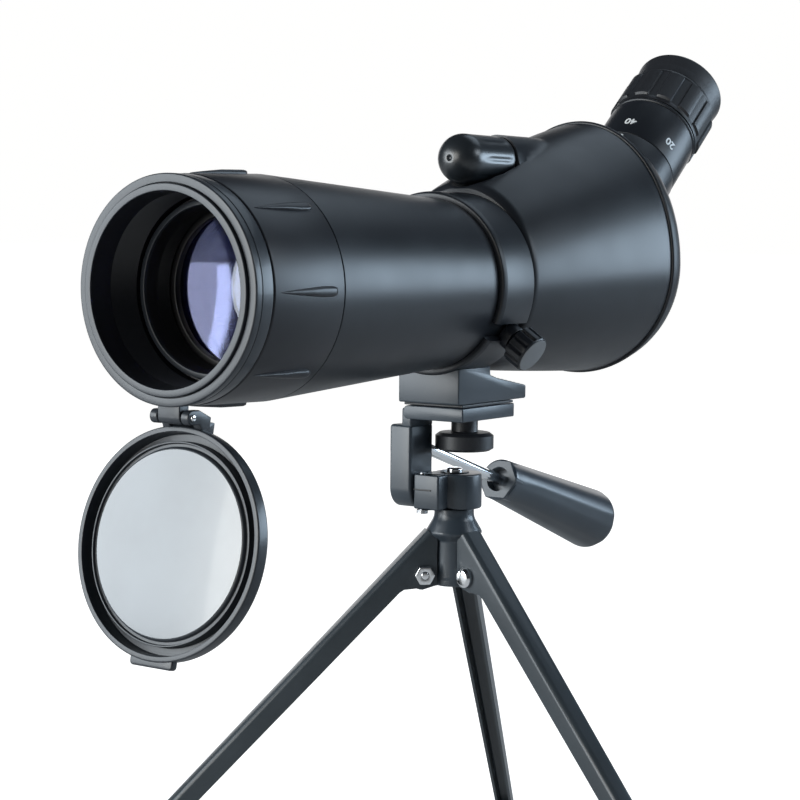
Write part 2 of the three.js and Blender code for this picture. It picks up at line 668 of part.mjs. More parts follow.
const lockFrame = new THREE.Group();
lockFrame.position.set(0, LOCK.y, 0);
lockFrame.rotation.y = -LOCK.angle;
lockFrame.updateMatrix();
scopeFrame.add(lockFrame);
const lockBoss = rod(LOCK.bossR, COLLAR.outerR - 2, LOCK.bossTop, "x", 24);
lockBoss.applyMatrix4(lockFrame.matrix);
const lockHole = rod(LOCK.screwR + GAP, COLLAR.innerR - 3, LOCK.bossTop + 2, "x", 16);
lockHole.applyMatrix4(lockFrame.matrix);
const bushHole = rod(FOOT.bushR + GAP, FOOT.bottom - 1, FOOT.bottom + 8.6, "z", 24);
bushHole.translate(0, SCREW.y, 0);
const collarFoot = plate(footOutline, -FOOT.halfWidth, FOOT.halfWidth);
part(
  "mounting_collar",
  cut(join(cut(collarRing, splitWedge), collarFoot, lockBoss), barrelSpace, lockHole, bushHole),
  MATERIAL.shell,
);
const bush = turned(
  [
    [SCREW.radius + GAP, FOOT.bottom + 0.2],
    [FOOT.bushR, FOOT.bottom + 0.2],
    [FOOT.bushR, FOOT.bottom + 8.3],
    [SCREW.radius + GAP, FOOT.bottom + 8.3],
  ],
  20,
  "z",
);
part("foot_bush", bush.translate(0, SCREW.y, 0), MATERIAL.brass);

// The lock knob turns on a short screw that presses on the barrel.
const fluteCuts = Array.from({ length: LOCK_KNOB.flutes }, (_, i) => {
  const flute = rod(LOCK_KNOB.fluteR, LOCK.bossTop + 2.4, LOCK_KNOB.top - 1.4, "x", 8);
  flute.translate(0, 0, LOCK_KNOB.radius + 0.3);
  return flute.rotateX((i * 2 * Math.PI) / LOCK_KNOB.flutes);
});
const lockKnob = turned(
  [
    [0, LOCK.bossTop + 0.4],
    [LOCK_KNOB.radius - 2, LOCK.bossTop + 0.4],
    [LOCK_KNOB.radius, LOCK.bossTop + 2],
    [LOCK_KNOB.radius, LOCK_KNOB.top - 0.8],
    [LOCK_KNOB.radius - 0.8, LOCK_KNOB.top],
    [0, LOCK_KNOB.top],
  ],
  30,
  "x",
);
const lockSocket = rod(LOCK.screwR + GAP, LOCK.bossTop, LOCK_KNOB.top - 2.6, "x", 16);
const lockScrew = rod(LOCK.screwR, COLLAR.innerR - 0.1, LOCK_KNOB.top - 3, "x", 16);
part("collar_lock_knob", cut(lockKnob, lockSocket, ...fluteCuts), MATERIAL.shell, lockFrame);
part("collar_lock_screw", lockScrew, MATERIAL.steel, lockFrame);

// ---------- tilt bracket with its handle, pad, camera screw and tilt pin ----------

// The handle's rod screws into the rear edge of the arm and slopes down behind it.
const handleFrame = new THREE.Group();
handleFrame.position.set(HANDLE.x, HANDLE.y, HANDLE.z);
handleFrame.rotation.x = -HANDLE.droop;
handleFrame.updateMatrix();
scopeFrame.add(handleFrame);
const rodStart = -(HANDLE.y - ARM.rear) / Math.cos(HANDLE.droop) - 9;
const rodBore = rod(HANDLE_ROD.radius + GAP, rodStart - GAP, -20, "y", 16);
rodBore.applyMatrix4(handleFrame.matrix);

const plateBody = block(PLATE.left, PLATE.right, PLATE.front, PLATE.rear, PLATE.bottom, PLATE.top);
const armNeck = block(ARM.neck, ARM.inner, PLATE.front, ARM.rear, TILT.z, PLATE.bottom + 1);
const armRadius = (ARM.rear - PLATE.front) / 2;
const armY = (ARM.rear + PLATE.front) / 2;
const armEnd = Array.from({ length: 9 }, (_, i) => {
  const angle = Math.PI + (i * Math.PI) / 8;
  return [armY + armRadius * Math.cos(angle), TILT.z + armRadius * Math.sin(angle)];
});
const armBlock = plate([...armEnd, [ARM.rear, ARM.step], [PLATE.front, ARM.step]], ARM.outer, ARM.inner);
const tiltHole = rod(TILT.pinR + GAP, TILT.from - GAP, ARM.inner + 1, "x", 20);
tiltHole.translate(0, TILT.y, TILT.z);
const screwHole = rod(SCREW.radius + GAP, PLATE.bottom - 1, PLATE.top + 1, "z", 20);
screwHole.translate(0, SCREW.y, 0);
const bracketBody = join(plateBody, armNeck, armBlock);
part("tilt_bracket", cut(bracketBody, tiltHole, screwHole, rodBore), MATERIAL.shell);
const tiltPin = rod(TILT.pinR, TILT.from, TILT.to, "x", 20).translate(0, TILT.y, TILT.z);
part("tilt_pin", tiltPin, MATERIAL.steel);

const padBody = block(
  PLATE.left + 0.4,
  PLATE.right - 0.4,
  PLATE.front + 0.4,
  PLATE.rear - 0.4,
  PLATE.top + GAP,
  FOOT.bottom - GAP,
);
const padHole = rod(FOOT.bushR, PLATE.top, FOOT.bottom, "z", 20).translate(0, SCREW.y, 0);
part("bracket_pad", cut(padBody, padHole), MATERIAL.rubber);

const screwFrame = new THREE.Group();
screwFrame.position.set(0, SCREW.y, 0);
scopeFrame.add(screwFrame);
const screwEnd = WHEEL.bottom + 2;
part("camera_screw", rod(SCREW.radius, screwEnd, SCREW.top, "z", 20), MATERIAL.steel, screwFrame);
const wheelBody = turned(
  [
    [0, WHEEL.bottom],
    [WHEEL.radius - WHEEL.chamfer, WHEEL.bottom],
    [WHEEL.radius, WHEEL.bottom + WHEEL.chamfer],
    [WHEEL.radius, WHEEL.top - WHEEL.chamfer],
    [WHEEL.radius - WHEEL.chamfer, WHEEL.top],
    [WHEEL.stemR, WHEEL.top],
    [WHEEL.stemR, PLATE.bottom - 0.5],
    [0, PLATE.bottom - 0.5],
  ],
  32,
  "z",
);
const wheelBore = rod(SCREW.radius + GAP, screwEnd - GAP, PLATE.bottom, "z", 20);
part("camera_thumbwheel", cut(wheelBody, wheelBore), MATERIAL.shell, screwFrame);

// ---------- pan head ----------

const PAN_BORE_R = PAN_SCREW.radius + GAP;
const headRound = rod(HEAD.radius, HEAD.bottom, HEAD.top, "z", 32).translate(0, PAN_Y, 0);
const armSpace = block(HEAD.left - 10, HEAD.left, PAN_Y - 20, PAN_Y + 20, HEAD.bottom - 9, HEAD.top + 9);
const headBlock = block(HEAD.left, HEAD.right, HEAD.front, PAN_Y, HEAD.bottom, HEAD.top);
const clampSlit = block(HEAD.left - 1, -1.2, HEAD.front - 1, TILT.y, TILT.z - 0.35, TILT.z + 0.35);
const pinBore = rod(TILT.pinR + GAP, HEAD.left - 1, TILT.to + GAP, "x", 20);
pinBore.translate(0, TILT.y, TILT.z);
const panBore = rod(PAN_BORE_R, HEAD.bottom - 1, HEAD.top + 1, "z", 20).translate(0, PAN_Y, 0);
const clampBore = rod(CLAMP.radius + GAP, HEAD.bottom - 4, HEAD.top + 1, "z", 16);
clampBore.translate(CLAMP.x, CLAMP.y, 0);
const headBody = cut(join(headRound, headBlock), armSpace, clampSlit);
part("head_base", cut(headBody, pinBore, panBore, clampBore), MATERIAL.shell);
const clampScrew = turned(
  [
    [0, CLAMP.bottom],
    [CLAMP.headR, CLAMP.bottom],
    [CLAMP.headR, HEAD.bottom - GAP],
    [CLAMP.radius, HEAD.bottom - GAP],
    [CLAMP.radius, HEAD.top + 0.6],
    [0, HEAD.top + 0.6],
  ],
  16,
  "z",
);
part("clamp_screw", clampScrew.translate(CLAMP.x, CLAMP.y, 0), MATERIAL.steel);

// ---------- handle ----------

const handleRod = rod(HANDLE_ROD.radius, rodStart, HANDLE_ROD.end, "y", 16);
part("handle_rod", handleRod, MATERIAL.chrome, handleFrame);
const gripShell = turned(
  [
    [0, 1.4],
    [HANDLE_GRIP.frontR, 1.4],
    [HANDLE_GRIP.endR, HANDLE_GRIP.length - 2.5],
    [HANDLE_GRIP.endR - 1.6, HANDLE_GRIP.length],
    [0, HANDLE_GRIP.length],
  ],
  28,
);
const hexFace = rod(HANDLE_GRIP.frontR + 0.5, 0, 6, "y", 6);
const handSocket = rod(HANDLE_GRIP.socketR, -1, HANDLE_GRIP.socketDepth, "y", 20);
const threadBore = rod(HANDLE_ROD.radius + GAP, 4, HANDLE_ROD.end + 0.4, "y", 16);
part("handle_grip", cut(join(gripShell, hexFace), handSocket, threadBore), MATERIAL.shell, handleFrame);

// ---------- tripod hub and pan screw ----------

const hubBody = turned(
  [
    [0, HUB.bottom],
    [HUB.discR, HUB.bottom],
    [HUB.discR, HUB.bottom + 2.4],
    [HUB.postR, HUB.bottom + 2.4],
    [HUB.postR, FLARE.bottom - 3],
    [FLARE.radius, FLARE.bottom],
    [HUB.neckR, FLARE.top],
    [HUB.neckR, HUB.top],
    [0, HUB.top],
  ],
  36,
  "z",
).translate(0, PAN_Y, 0);

// A lug towards each leg, in the plane of radius and height, then turned to the leg's azimuth.
function hubLug(azimuth) {
  const round = rod(LUG.radius, -LUG.halfWidth, LUG.halfWidth, "x", 20);
  round.translate(0, LEG.pivotR, LEG.pivotZ);
  const web = block(-LUG.halfWidth, LUG.halfWidth, 2, LEG.pivotR, LEG.pivotZ - 4, LEG.pivotZ + 6);
  const hole = rod(BOLT.radius + GAP, -LUG.halfWidth - 1, LUG.halfWidth + 1, "x", 16);
  hole.translate(0, LEG.pivotR, LEG.pivotZ);
  return cut(join(round, web), hole).rotateZ(azimuth - Math.PI / 2).translate(0, PAN_Y, 0);
}
const hubBore = rod(PAN_BORE_R, PAN_SCREW.bottom - GAP, HUB.top + 1, "z", 20).translate(0, PAN_Y, 0);
part("tripod_hub", cut(join(hubBody, ...LEG_AZIMUTHS.map(hubLug)), hubBore), MATERIAL.shell);

const panScrew = turned(
  [
    [0, PAN_SCREW.bottom],
    [PAN_SCREW.radius, PAN_SCREW.bottom],
    [PAN_SCREW.radius, PAN_SCREW.seat],
    [PAN_SCREW.headR, PAN_SCREW.seat],
    [PAN_SCREW.headR, PAN_SCREW.top - 0.5],
    [PAN_SCREW.headR - 1.1, PAN_SCREW.top],
    [0, PAN_SCREW.top],
  ],
  20,
  "z",
);
part("pan_screw", panScrew.translate(0, PAN_Y, 0), MATERIAL.chrome);

// ---------- legs ----------

// A leg in its own frame: +X across it, +Y out of its back, -Z down along it, the pivot at the origin.
function legWidth(u) {
  const t = (u - LEG_SPAN.top) / (LEG_SPAN.end - LEG_SPAN.top);
  return mix(LEG_WIDTH.top, LEG_WIDTH.end, t) / 2;
}

function legRing(u, halfWidth, front, back) {
  const corners = [[-halfWidth, front], [halfWidth, front], [halfWidth, back], [-halfWidth, back]];
  return corners.map(([x, y]) => new THREE.Vector3(x, y, -u));
}

// Stations down the leg and how far forward its two sides reach at each.
const LEG_SIDES = [[LEG_SPAN.top, 6], [-4.5, -3], [3.6, -3.4], [9.5, 1.5], [LEG_SPAN.end, 4.2]];
const legOuter = loft(LEG_SIDES.map(([u, front]) => legRing(u, legWidth(u), front, LEG.back)));
const insideRing = (u) => legRing(u, legWidth(u) - LEG.wall, -12, LEG.back - LEG.wall);
const legInner = loft([LEG_SPAN.top - 2, LEG_SPAN.end + 2].map(insideRing));
const legHole = rod(BOLT.radius + GAP, -10, 10, "x", 16);
const legShape = cut(legOuter, legInner, legHole);

const pocketRing = (u) => legRing(u, legWidth(u) + GAP, 3, LEG.back + GAP);
const tipOuter = loft([
  legRing(TIP.from, TIP.halfWidth - 0.8, TIP.front, TIP.back - 0.6),
  legRing(TIP.from + 4, TIP.halfWidth, TIP.front, TIP.back),
  legRing(TIP.to - 2, TIP.halfWidth, TIP.front, TIP.back),
  legRing(TIP.to, TIP.halfWidth - 1, TIP.front + 1, TIP.back - 1.5),
]);
const tipPocket = loft([pocketRing(TIP.from - 1), pocketRing(LEG_SPAN.end + GAP)]);
const tipBody = cut(tipOuter, tipPocket);

// The floor, seen from a spread leg, trims a flat patch on its tip.
const spreadTurn = new THREE.Matrix4().makeRotationX(LEG.spread);
const floorZ = ORIGIN.z - LEG.pivotZ;
const underFloor = block(-40, 40, -40, 240, floorZ - 60, floorZ).applyMatrix4(spreadTurn.clone().invert());
const tipShape = cut(tipBody, underFloor);

const boltShape = turned(
  [
    [0, -BOLT.reach],
    [BOLT.radius, -BOLT.reach],
    [BOLT.radius, BOLT.washer],
    [BOLT.headR, BOLT.washer],
    [BOLT.headR, BOLT.washer + 1],
    [BOLT.headR - 0.9, BOLT.washer + 2.1],
    [0, BOLT.washer + 2.4],
  ],
  16,
  "x",
);
const nutProfile = [
  [BOLT.radius + GAP, -BOLT.washer - 2.4],
  [BOLT.headR, -BOLT.washer - 2.4],
  [BOLT.headR, -BOLT.washer],
  [BOLT.radius + GAP, -BOLT.washer],
];
const nutShape = turned(nutProfile, 6, "x");

LEG_AZIMUTHS.forEach((azimuth, i) => {
  const pivot = new THREE.Group();
  const [across, forward] = [Math.cos(azimuth) * LEG.pivotR, Math.sin(azimuth) * LEG.pivotR];
  pivot.position.set(across, PAN_Y + forward, LEG.pivotZ);
  pivot.rotation.z = azimuth - Math.PI / 2;
  scopeFrame.add(pivot);
  const spread = new THREE.Group();
  spread.rotation.x = LEG.spread;
  pivot.add(spread);
  part("leg_" + (i + 1), legShape.clone(), MATERIAL.paint, spread);
  part("leg_tip_" + (i + 1), tipShape.clone(), MATERIAL.rubber, spread);
  part("leg_bolt_" + (i + 1), boltShape.clone(), MATERIAL.chrome, pivot);
  part("leg_nut_" + (i + 1), nutShape.clone(), MATERIAL.chrome, pivot);
});

export default object;
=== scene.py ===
import math

import bmesh
import bpy
import numpy as np
from mathutils import Matrix, Vector


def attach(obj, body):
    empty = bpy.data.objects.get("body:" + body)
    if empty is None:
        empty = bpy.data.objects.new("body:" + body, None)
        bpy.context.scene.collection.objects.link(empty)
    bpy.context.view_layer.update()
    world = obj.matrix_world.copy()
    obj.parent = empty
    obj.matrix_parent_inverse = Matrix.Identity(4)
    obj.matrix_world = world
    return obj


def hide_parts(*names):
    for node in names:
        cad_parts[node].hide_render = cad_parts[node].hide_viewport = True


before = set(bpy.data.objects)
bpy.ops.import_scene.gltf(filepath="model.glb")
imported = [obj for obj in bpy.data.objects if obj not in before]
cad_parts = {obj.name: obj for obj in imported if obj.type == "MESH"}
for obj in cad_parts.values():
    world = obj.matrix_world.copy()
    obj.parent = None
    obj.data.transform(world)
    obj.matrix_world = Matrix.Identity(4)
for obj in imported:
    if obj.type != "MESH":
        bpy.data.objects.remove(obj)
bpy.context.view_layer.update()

# Shapes are drawn in millimetres in the scope frame: the origin is where the optical axis
# meets the front rim, -Y points forward and +Z up. ROW takes them to the row frame in metres.
ORIGIN = Vector((21.08, 178.2, -267.6))
ROW = Matrix.Scale(0.001, 4) @ Matrix.Translation(-ORIGIN)


def shift(x, y, z):
    return Matrix.Translation((x, y, z))


def turn(degrees, axis):
    return Matrix.Rotation(math.radians(degrees), 4, axis)


EYEPIECE = shift(0, 305.6, 47.9) @ turn(39, "X")
CAP = shift(0, 0.16, -80.65) @ turn(-11.3, "X")
LOCK = shift(0, 161.5, 0) @ turn(34, "Y")
HANDLE = shift(-14.7, 223.4, -82.5) @ turn(-18.1, "X")
HUB = shift(0, 168.15, 0)
LEG_AZIMUTHS = (225, 345, 113.5)
LEG_R, LEG_Z = 12.6, -112.5

# ---------- camera ----------

YAW, PITCH, ROLL = (math.radians(a) for a in (34.87, 4.78, 0.59))
CAMERA_AT = Vector((421.5, -474.32, 18.74))
LENS_MM, SENSOR_MM = 89.64, 36


def aim_camera():
    flat = math.cos(PITCH)
    forward = Vector((-math.sin(YAW) * flat, math.cos(YAW) * flat, -math.sin(PITCH)))
    right = Vector((math.cos(YAW), math.sin(YAW), 0))
    up = right.cross(forward)
    level = (right * math.cos(ROLL) + up * math.sin(ROLL), up * math.cos(ROLL) - right * math.sin(ROLL))
    data = bpy.data.cameras.new("camera")
    data.lens = LENS_MM
    data.sensor_width = SENSOR_MM
    camera = bpy.data.objects.new("camera", data)
    facing = Matrix((level[0], level[1], -forward)).transposed().to_4x4()
    camera.matrix_world = Matrix.Translation(ROW @ CAMERA_AT) @ facing
    bpy.context.scene.collection.objects.link(camera)
    bpy.context.scene.camera = camera


aim_camera()

# ---------- shapes: each is (vertices, faces) ----------


def rounded(points, radius=0.4, closed=True, steps=4):
    """The outline with its corners rounded. A point's third number is its own radius."""
    made = []
    count = len(points)
    for i, point in enumerate(points):
        corner = Vector(point[:2])
        r = point[2] if len(point) > 2 else radius
        before = Vector(points[i - 1][:2]) - corner
        after = Vector(points[(i + 1) % count][:2]) - corner
        if r == 0 or (not closed and i in (0, count - 1)):
            made.append(corner)
            continue
        u, v = before.normalized(), after.normalized()
        half = math.acos(max(-1, min(1, u.dot(v)))) / 2
        swing = math.pi - 2 * half
        if swing < 0.02:
            made.append(corner)
            continue
        reach = min(r / math.tan(half), 0.49 * before.length, 0.49 * after.length)
        centre = corner + (u + v).normalized() * (reach / math.cos(half))
        start, end = corner + u * reach - centre, corner + v * reach - centre
        for k in range(steps + 1):
            t = k / steps
            a, b = math.sin((1 - t) * swing), math.sin(t * swing)
            made.append(centre + (start * a + end * b) / math.sin(swing))
    return [(p[0], p[1]) for p in made]


def skin(rings, closed=False, caps=True):
    """Faces over rings of points that hold the same number each. closed joins last to first."""
    count, total = len(rings[0]), len(rings)
    verts = [tuple(p) for ring in rings for p in ring]
    faces = []
    for k in range(total if closed else total - 1):
        a, b = k * count, ((k + 1) % total) * count
        for i in range(count):
            j = (i + 1) % count
            faces.append((a + i, a + j, b + j, b + i))
    if caps and not closed:
        faces.append(tuple(range(count))[::-1])
        faces.append(tuple((total - 1) * count + i for i in range(count)))
    return verts, faces


AXES = {
    "Y": lambda r, s, c, n: (r * c, s, r * n),
    "Z": lambda r, s, c, n: (r * c, r * n, s),
    "X": lambda r, s, c, n: (s, r * c, r * n),
}


def lathe(profile, segments=128, axis="Y", closed=True, radius=None):
    """A turned shape from (radius, station) points. radius(angle, r, s) may vary it."""
    rings = []
    for r, s in profile:
        ring = []
        for i in range(segments):
            angle = 2 * math.pi * i / segments
            reach = radius(angle, r, s) if radius else r
            ring.append(AXES[axis](max(reach, 0), s, math.cos(angle), math.sin(angle)))
        rings.append(ring)
    return skin(rings, closed=closed)


def slab(outline, low, high, plane="YZ", edge=0.6, steps=3):
    """An outline drawn out from low to high, with its long edges rounded."""
    points = np.array(outline, float)
    area = np.sum(points[:, 0] * np.roll(points[:, 1], -1) - points[:, 1] * np.roll(points[:, 0], -1))
    if area < 0:
        points = points[::-1]
    ahead = np.roll(points, -1, 0) - points
    ahead /= np.linalg.norm(ahead, axis=1)[:, None] + 1e-12
    behind = np.roll(ahead, 1, 0)
    normals = np.stack([ahead[:, 1] + behind[:, 1], -ahead[:, 0] - behind[:, 0]], 1)
    normals /= np.sum(normals**2, 1)[:, None] / 2 + 1e-12
    quarter = np.linspace(0, math.pi / 2, steps + 1)
    arcs = [(edge * (1 - math.sin(t)), edge * (1 - math.cos(t))) for t in quarter]
    levels = [(inset, low + rise) for inset, rise in arcs]
    levels += [(inset, high - rise) for inset, rise in reversed(arcs)]
    rings = []
    for inset, level in levels:
        moved = points - normals * inset
        if plane == "YZ":
            rings.append([(level, a, b) for a, b in moved])
        elif plane == "XY":
            rings.append([(a, b, level) for a, b in moved])
        else:
            rings.append([(a, level, b) for a, b in moved])
    return skin(rings)


def brick(x, y, z, corner=1.0, edge=0.5):
    """A block between pairs of limits, its upright corners and its edges rounded."""
    outline = [(y[0], z[0]), (y[1], z[0]), (y[1], z[1]), (y[0], z[1])]
    return slab(rounded(outline, corner), x[0], x[1], edge=edge)


def moved(shape, matrix):
    return [tuple(matrix @ Vector(v)) for v in shape[0]], shape[1]


def together(*shapes):
    verts, faces = [], []
    for v, f in shapes:
        base = len(verts)
        verts += v
        faces += [tuple(i + base for i in face) for face in f]
    return verts, faces


def around(shape, count, axis="Y", first=0):
    return together(*[moved(shape, turn(first + 360 * i / count, axis)) for i in range(count)])


# ---------- materials ----------


class Nodes:
    """A material's node tree with short calls for what the finishes share."""

    def __init__(self, name):
        self.material = bpy.data.materials.new(name)
        self.material.use_nodes = True
        self.tree = self.material.node_tree
        self.shader = self.tree.nodes["Principled BSDF"]
        self.place = self.add("ShaderNodeTexCoord").outputs["Object"]

    def add(self, kind, **inputs):
        node = self.tree.nodes.new(kind)
        for name, value in inputs.items():
            node.inputs[name.replace("_", " ")].default_value = value
        return node

    def link(self, a, b):
        self.tree.links.new(a, b)

    def noise(self, scale, detail=3.0, stretch=None):
        place = self.place
        if stretch:
            mapping = self.add("ShaderNodeMapping", Scale=stretch)
            self.link(place, mapping.inputs["Vector"])
            place = mapping.outputs["Vector"]
        node = self.add("ShaderNodeTexNoise", Scale=scale, Detail=detail)
        self.link(place, node.inputs["Vector"])
        return node.outputs["Fac"]

    def spread(self, value, low, high):
        """A noise value spread over low to high."""
        node = self.add("ShaderNodeMapRange")
        for name, number in (("From Min", 0.3), ("From Max", 0.7), ("To Min", low), ("To Max", high)):
            node.inputs[name].default_value = number
        self.link(value, node.inputs["Value"])
        return node.outputs["Result"]

    def tint(self, value, dark, light):
        ramp = self.add("ShaderNodeValToRGB")
        ramp.color_ramp.elements[0].position = 0.32
        ramp.color_ramp.elements[1].position = 0.68
        ramp.color_ramp.elements[0].color = (*dark, 1)
        ramp.color_ramp.elements[1].color = (*light, 1)
        self.link(value, ramp.inputs["Fac"])
        self.link(ramp.outputs["Color"], self.shader.inputs["Base Color"])

    def bump(self, height, depth, strength=0.5):
        node = self.add("ShaderNodeBump", Strength=strength, Distance=depth)
        self.link(height, node.inputs["Height"])
        self.link(node.outputs["Normal"], self.shader.inputs["Normal"])
        return node

    def set(self, **values):
        for name, value in values.items():
            self.shader.inputs[name.replace("_", " ")].default_value = value


def shades(colour, spread):
    return tuple(c * (1 - spread) for c in colour), tuple(c * (1 + spread) for c in colour)


def plastic(
    name, colour, rough, specular=0.5, grain=1800, depth=0.00002, vary=0.02, coat=0.0, strength=0.25
):
    """Moulded plastic: a fine spark-eroded grain, uneven gloss and a little colour drift."""
    n = Nodes(name)
    n.tint(n.noise(22, 4), *shades(colour, 0.18))
    n.link(n.spread(n.noise(60, 5), rough - vary, rough + vary), n.shader.inputs["Roughness"])
    n.bump(n.noise(grain, 2), depth, strength)
    n.set(Specular_IOR_Level=specular, Coat_Weight=coat, Coat_Roughness=0.06)
    return n.material


def metal(name, colour, rough, stretch=(1, 1, 1), grain=900, depth=0.000004):
    """Bare or plated metal with fine tool marks."""
    n = Nodes(name)
    n.tint(n.noise(40, 4), *shades(colour, 0.05))
    n.link(n.spread(n.noise(grain, 4, stretch), rough * 0.7, rough * 1.4), n.shader.inputs["Roughness"])
    n.bump(n.noise(grain, 3, stretch), depth, 0.3)
    n.set(Metallic=1.0)
    return n.material


def glass(name, colour, through, ior=1.7):
    """Coated glass: a clear body under a thin violet-blue coating."""
    n = Nodes(name)
    n.tint(n.noise(14, 2), *shades(colour, 0.08))
    n.link(n.spread(n.noise(30, 3), 0.01, 0.035), n.shader.inputs["Roughness"])
    n.bump(n.noise(9, 1), 0.00002, 0.05)
    n.set(Transmission_Weight=through, IOR=ior)
    n.set(Coat_Weight=0.8, Coat_Roughness=0.02, Coat_Tint=(0.86, 0.88, 1, 1))
    return n.material


SHELL = plastic("shell_plastic", (0.011, 0.013, 0.017), 0.36, specular=0.4)
HOOD_SKIN = plastic("hood_plastic", (0.012, 0.013, 0.017), 0.36, specular=0.4, grain=2600)
KNOB = plastic("knob_plastic", (0.012, 0.015, 0.018), 0.3, specular=0.7, grain=2600)
HEAD = plastic("head_plastic", (0.034, 0.044, 0.055), 0.3, specular=0.5, grain=1200, depth=0.00003)
END = plastic("end_plastic", (0.15, 0.155, 0.16), 0.5, specular=0.5, grain=900)
LINER = plastic("cap_liner", (0.06, 0.07, 0.08), 0.25, specular=0.8, grain=700, coat=0.4)
TRIM = plastic("trim_plastic", (0.02, 0.024, 0.03), 0.34, specular=0.4, grain=300, coat=0.1, strength=0.05)
RUBBER = plastic("rubber", (0.014, 0.015, 0.018), 0.45, specular=0.5, grain=3200, depth=0.00004)
DARK = plastic("blackened_metal", (0.006, 0.006, 0.007), 0.34, specular=0.4, grain=2400)
PAINT = plastic("leg_paint", (0.034, 0.042, 0.049), 0.3, specular=0.3, grain=420, depth=0.00003, coat=0.2)
CHROME = metal("chrome", (0.9, 0.91, 0.92), 0.1)
STEEL = metal("steel", (0.55, 0.56, 0.58), 0.28, stretch=(12, 1, 1))
BRASS = metal("brass", (0.72, 0.53, 0.24), 0.3, stretch=(1, 14, 1))
GLASS = glass("coated_glass", (0.95, 0.96, 1.0), 1.0, ior=1.35)
CLEAR = glass("clear_glass", (0.5, 0.55, 0.75), 0.9, ior=1.55)
COATING = plastic(
    "lens_coating", (0.022, 0.024, 0.07), 0.05, specular=1.0, grain=200, vary=0.01, coat=1.0, strength=0.0
)
INK = plastic("scale_ink", (0.86, 0.88, 0.88), 0.5, specular=0.3)


def piece(name, shape, body, material, nodes=(), where=None, sharp=32):
    """A shape as an object that rides on a body and stands for CAD nodes."""
    mesh = bpy.data.meshes.new(name)
    mesh.from_pydata(shape[0], [], shape[1])
    mesh.transform(ROW @ where if where else ROW)
    tidy(mesh)
    mesh.shade_smooth()
    mesh.set_sharp_from_angle(angle=math.radians(sharp))
    mesh.materials.append(material)
    made = bpy.data.objects.new(name, mesh)
    bpy.context.scene.collection.objects.link(made)
    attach(made, body)
    if nodes:
        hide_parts(*nodes)
    return made


def tidy(mesh):
    """Welds doubled points, drops flat faces and turns every face outwards."""
    bm = bmesh.new()
    bm.from_mesh(mesh)
    bmesh.ops.remove_doubles(bm, verts=bm.verts, dist=2e-6)
    bmesh.ops.dissolve_degenerate(bm, edges=bm.edges, dist=1e-7)
    bmesh.ops.recalc_face_normals(bm, faces=bm.faces)
    bm.to_mesh(mesh)
    bm.free()


# ---------- lens hood ----------


def hood_radius(y):
    return 37.2 + (38.05 - 37.2) * (y - 8.9) / (44.3 - 8.9)


def ridges(r, first, last, count, depth):
    """Sawtooth points along a bore, from one station to another."""
    pitch = (last - first) / count
    made = []
    for k in range(count):
        made += [(r, first + k * pitch), (r - depth, first + (k + 0.45) * pitch)]
    return made


hood_profile = rounded(
    [
        (31.5, -0.85, 0.6),
        (33.8, -0.85, 0.8),
        (33.8, 1.7, 0.1),
        (34.9, 1.7, 0.1),
        (34.9, 8.9, 0.1),
        (37.2, 8.9, 0.7),
        (38.05, 44.3, 0.35),
        (31.5, 44.3, 0),
        (31.5, 21.4, 0),
    ]
)
hood_start = hood_profile.index(min(hood_profile, key=lambda p: abs(p[0] - 31.5) + abs(p[1] - 21.4)))
hood_profile = hood_profile[: hood_start + 1] + ridges(31.4, 21, 7.6, 16, 0.45)
piece("hood", lathe(hood_profile, 160), "scope", HOOD_SKIN, ["lens_hood"])
nose_profile = rounded(
    [(31.45, -0.3, 0.1), (31.45, -0.9, 0.35), (33.85, -0.9, 0.35), (33.85, 1.5, 0.1), (32.2, 1.5, 0.1)]
)
piece("hood_nose", lathe(nose_profile, 160), "scope", TRIM)


def hood_rib():
    """A low fin, pointed in front and rounded behind, lying along the hood."""
    rings = []
    for t in np.linspace(0, 1, 25):
        y = 11.9 + t * (40.4 - 11.9)
        end_width = math.sqrt(max(0.02, 1 - max(0, (t - 0.88) / 0.12) ** 2))
        end_height = math.sqrt(max(0.02, 1 - max(0, (t - 0.9) / 0.1) ** 2))
        width = 1.75 * min(1, (t / 0.75) ** 0.75) * end_width
        height = 0.15 + 1.15 * min(1, t / 0.55) ** 0.8 * end_height
        ring = []
        for angle in np.linspace(0, math.pi, 13):
            across, up = math.cos(angle), math.sin(angle)
            spread = math.copysign(abs(across) ** 0.7, across)
            ring.append((width * spread, y, hood_radius(y) - 0.35 + (0.35 + height) * up**0.55))
        ring += [(-width, y, hood_radius(y) - 0.8), (width, y, hood_radius(y) - 0.8)]
        rings.append(ring)
    return skin(rings)


piece("hood_ribs", around(hood_rib(), 8), "scope", HOOD_SKIN, sharp=50)

# ---------- clip ring and hinge pin ----------

ring_profile = rounded(
    [
        (34.1, 0.2, 0.25),
        (37.05, 0.2, 0.55),
        (37.05, 2.9, 0.1),
        (36.85, 3.05, 0.05),
        (36.85, 3.35, 0.05),
        (37.05, 3.5, 0.1),
        (37.05, 8.6, 0.3),
        (35.2, 8.6, 0.1),
        (35.2, 1.4, 0.1),
        (34.1, 1.4, 0.1),
    ]
)
piece("clip_ring", lathe(ring_profile, 160), "scope", TRIM, ["cap_ring"])
PIN_Y, PIN_Z, KNUCKLE_R = 4.01, -40.32, 2.35


def knuckle(start, end):
    """An arc round the hinge pin, from and to angles in radians."""
    arc = np.linspace(start, end, 17)
    return [(PIN_Y + KNUCKLE_R * math.cos(a), PIN_Z + KNUCKLE_R * math.sin(a)) for a in arc]


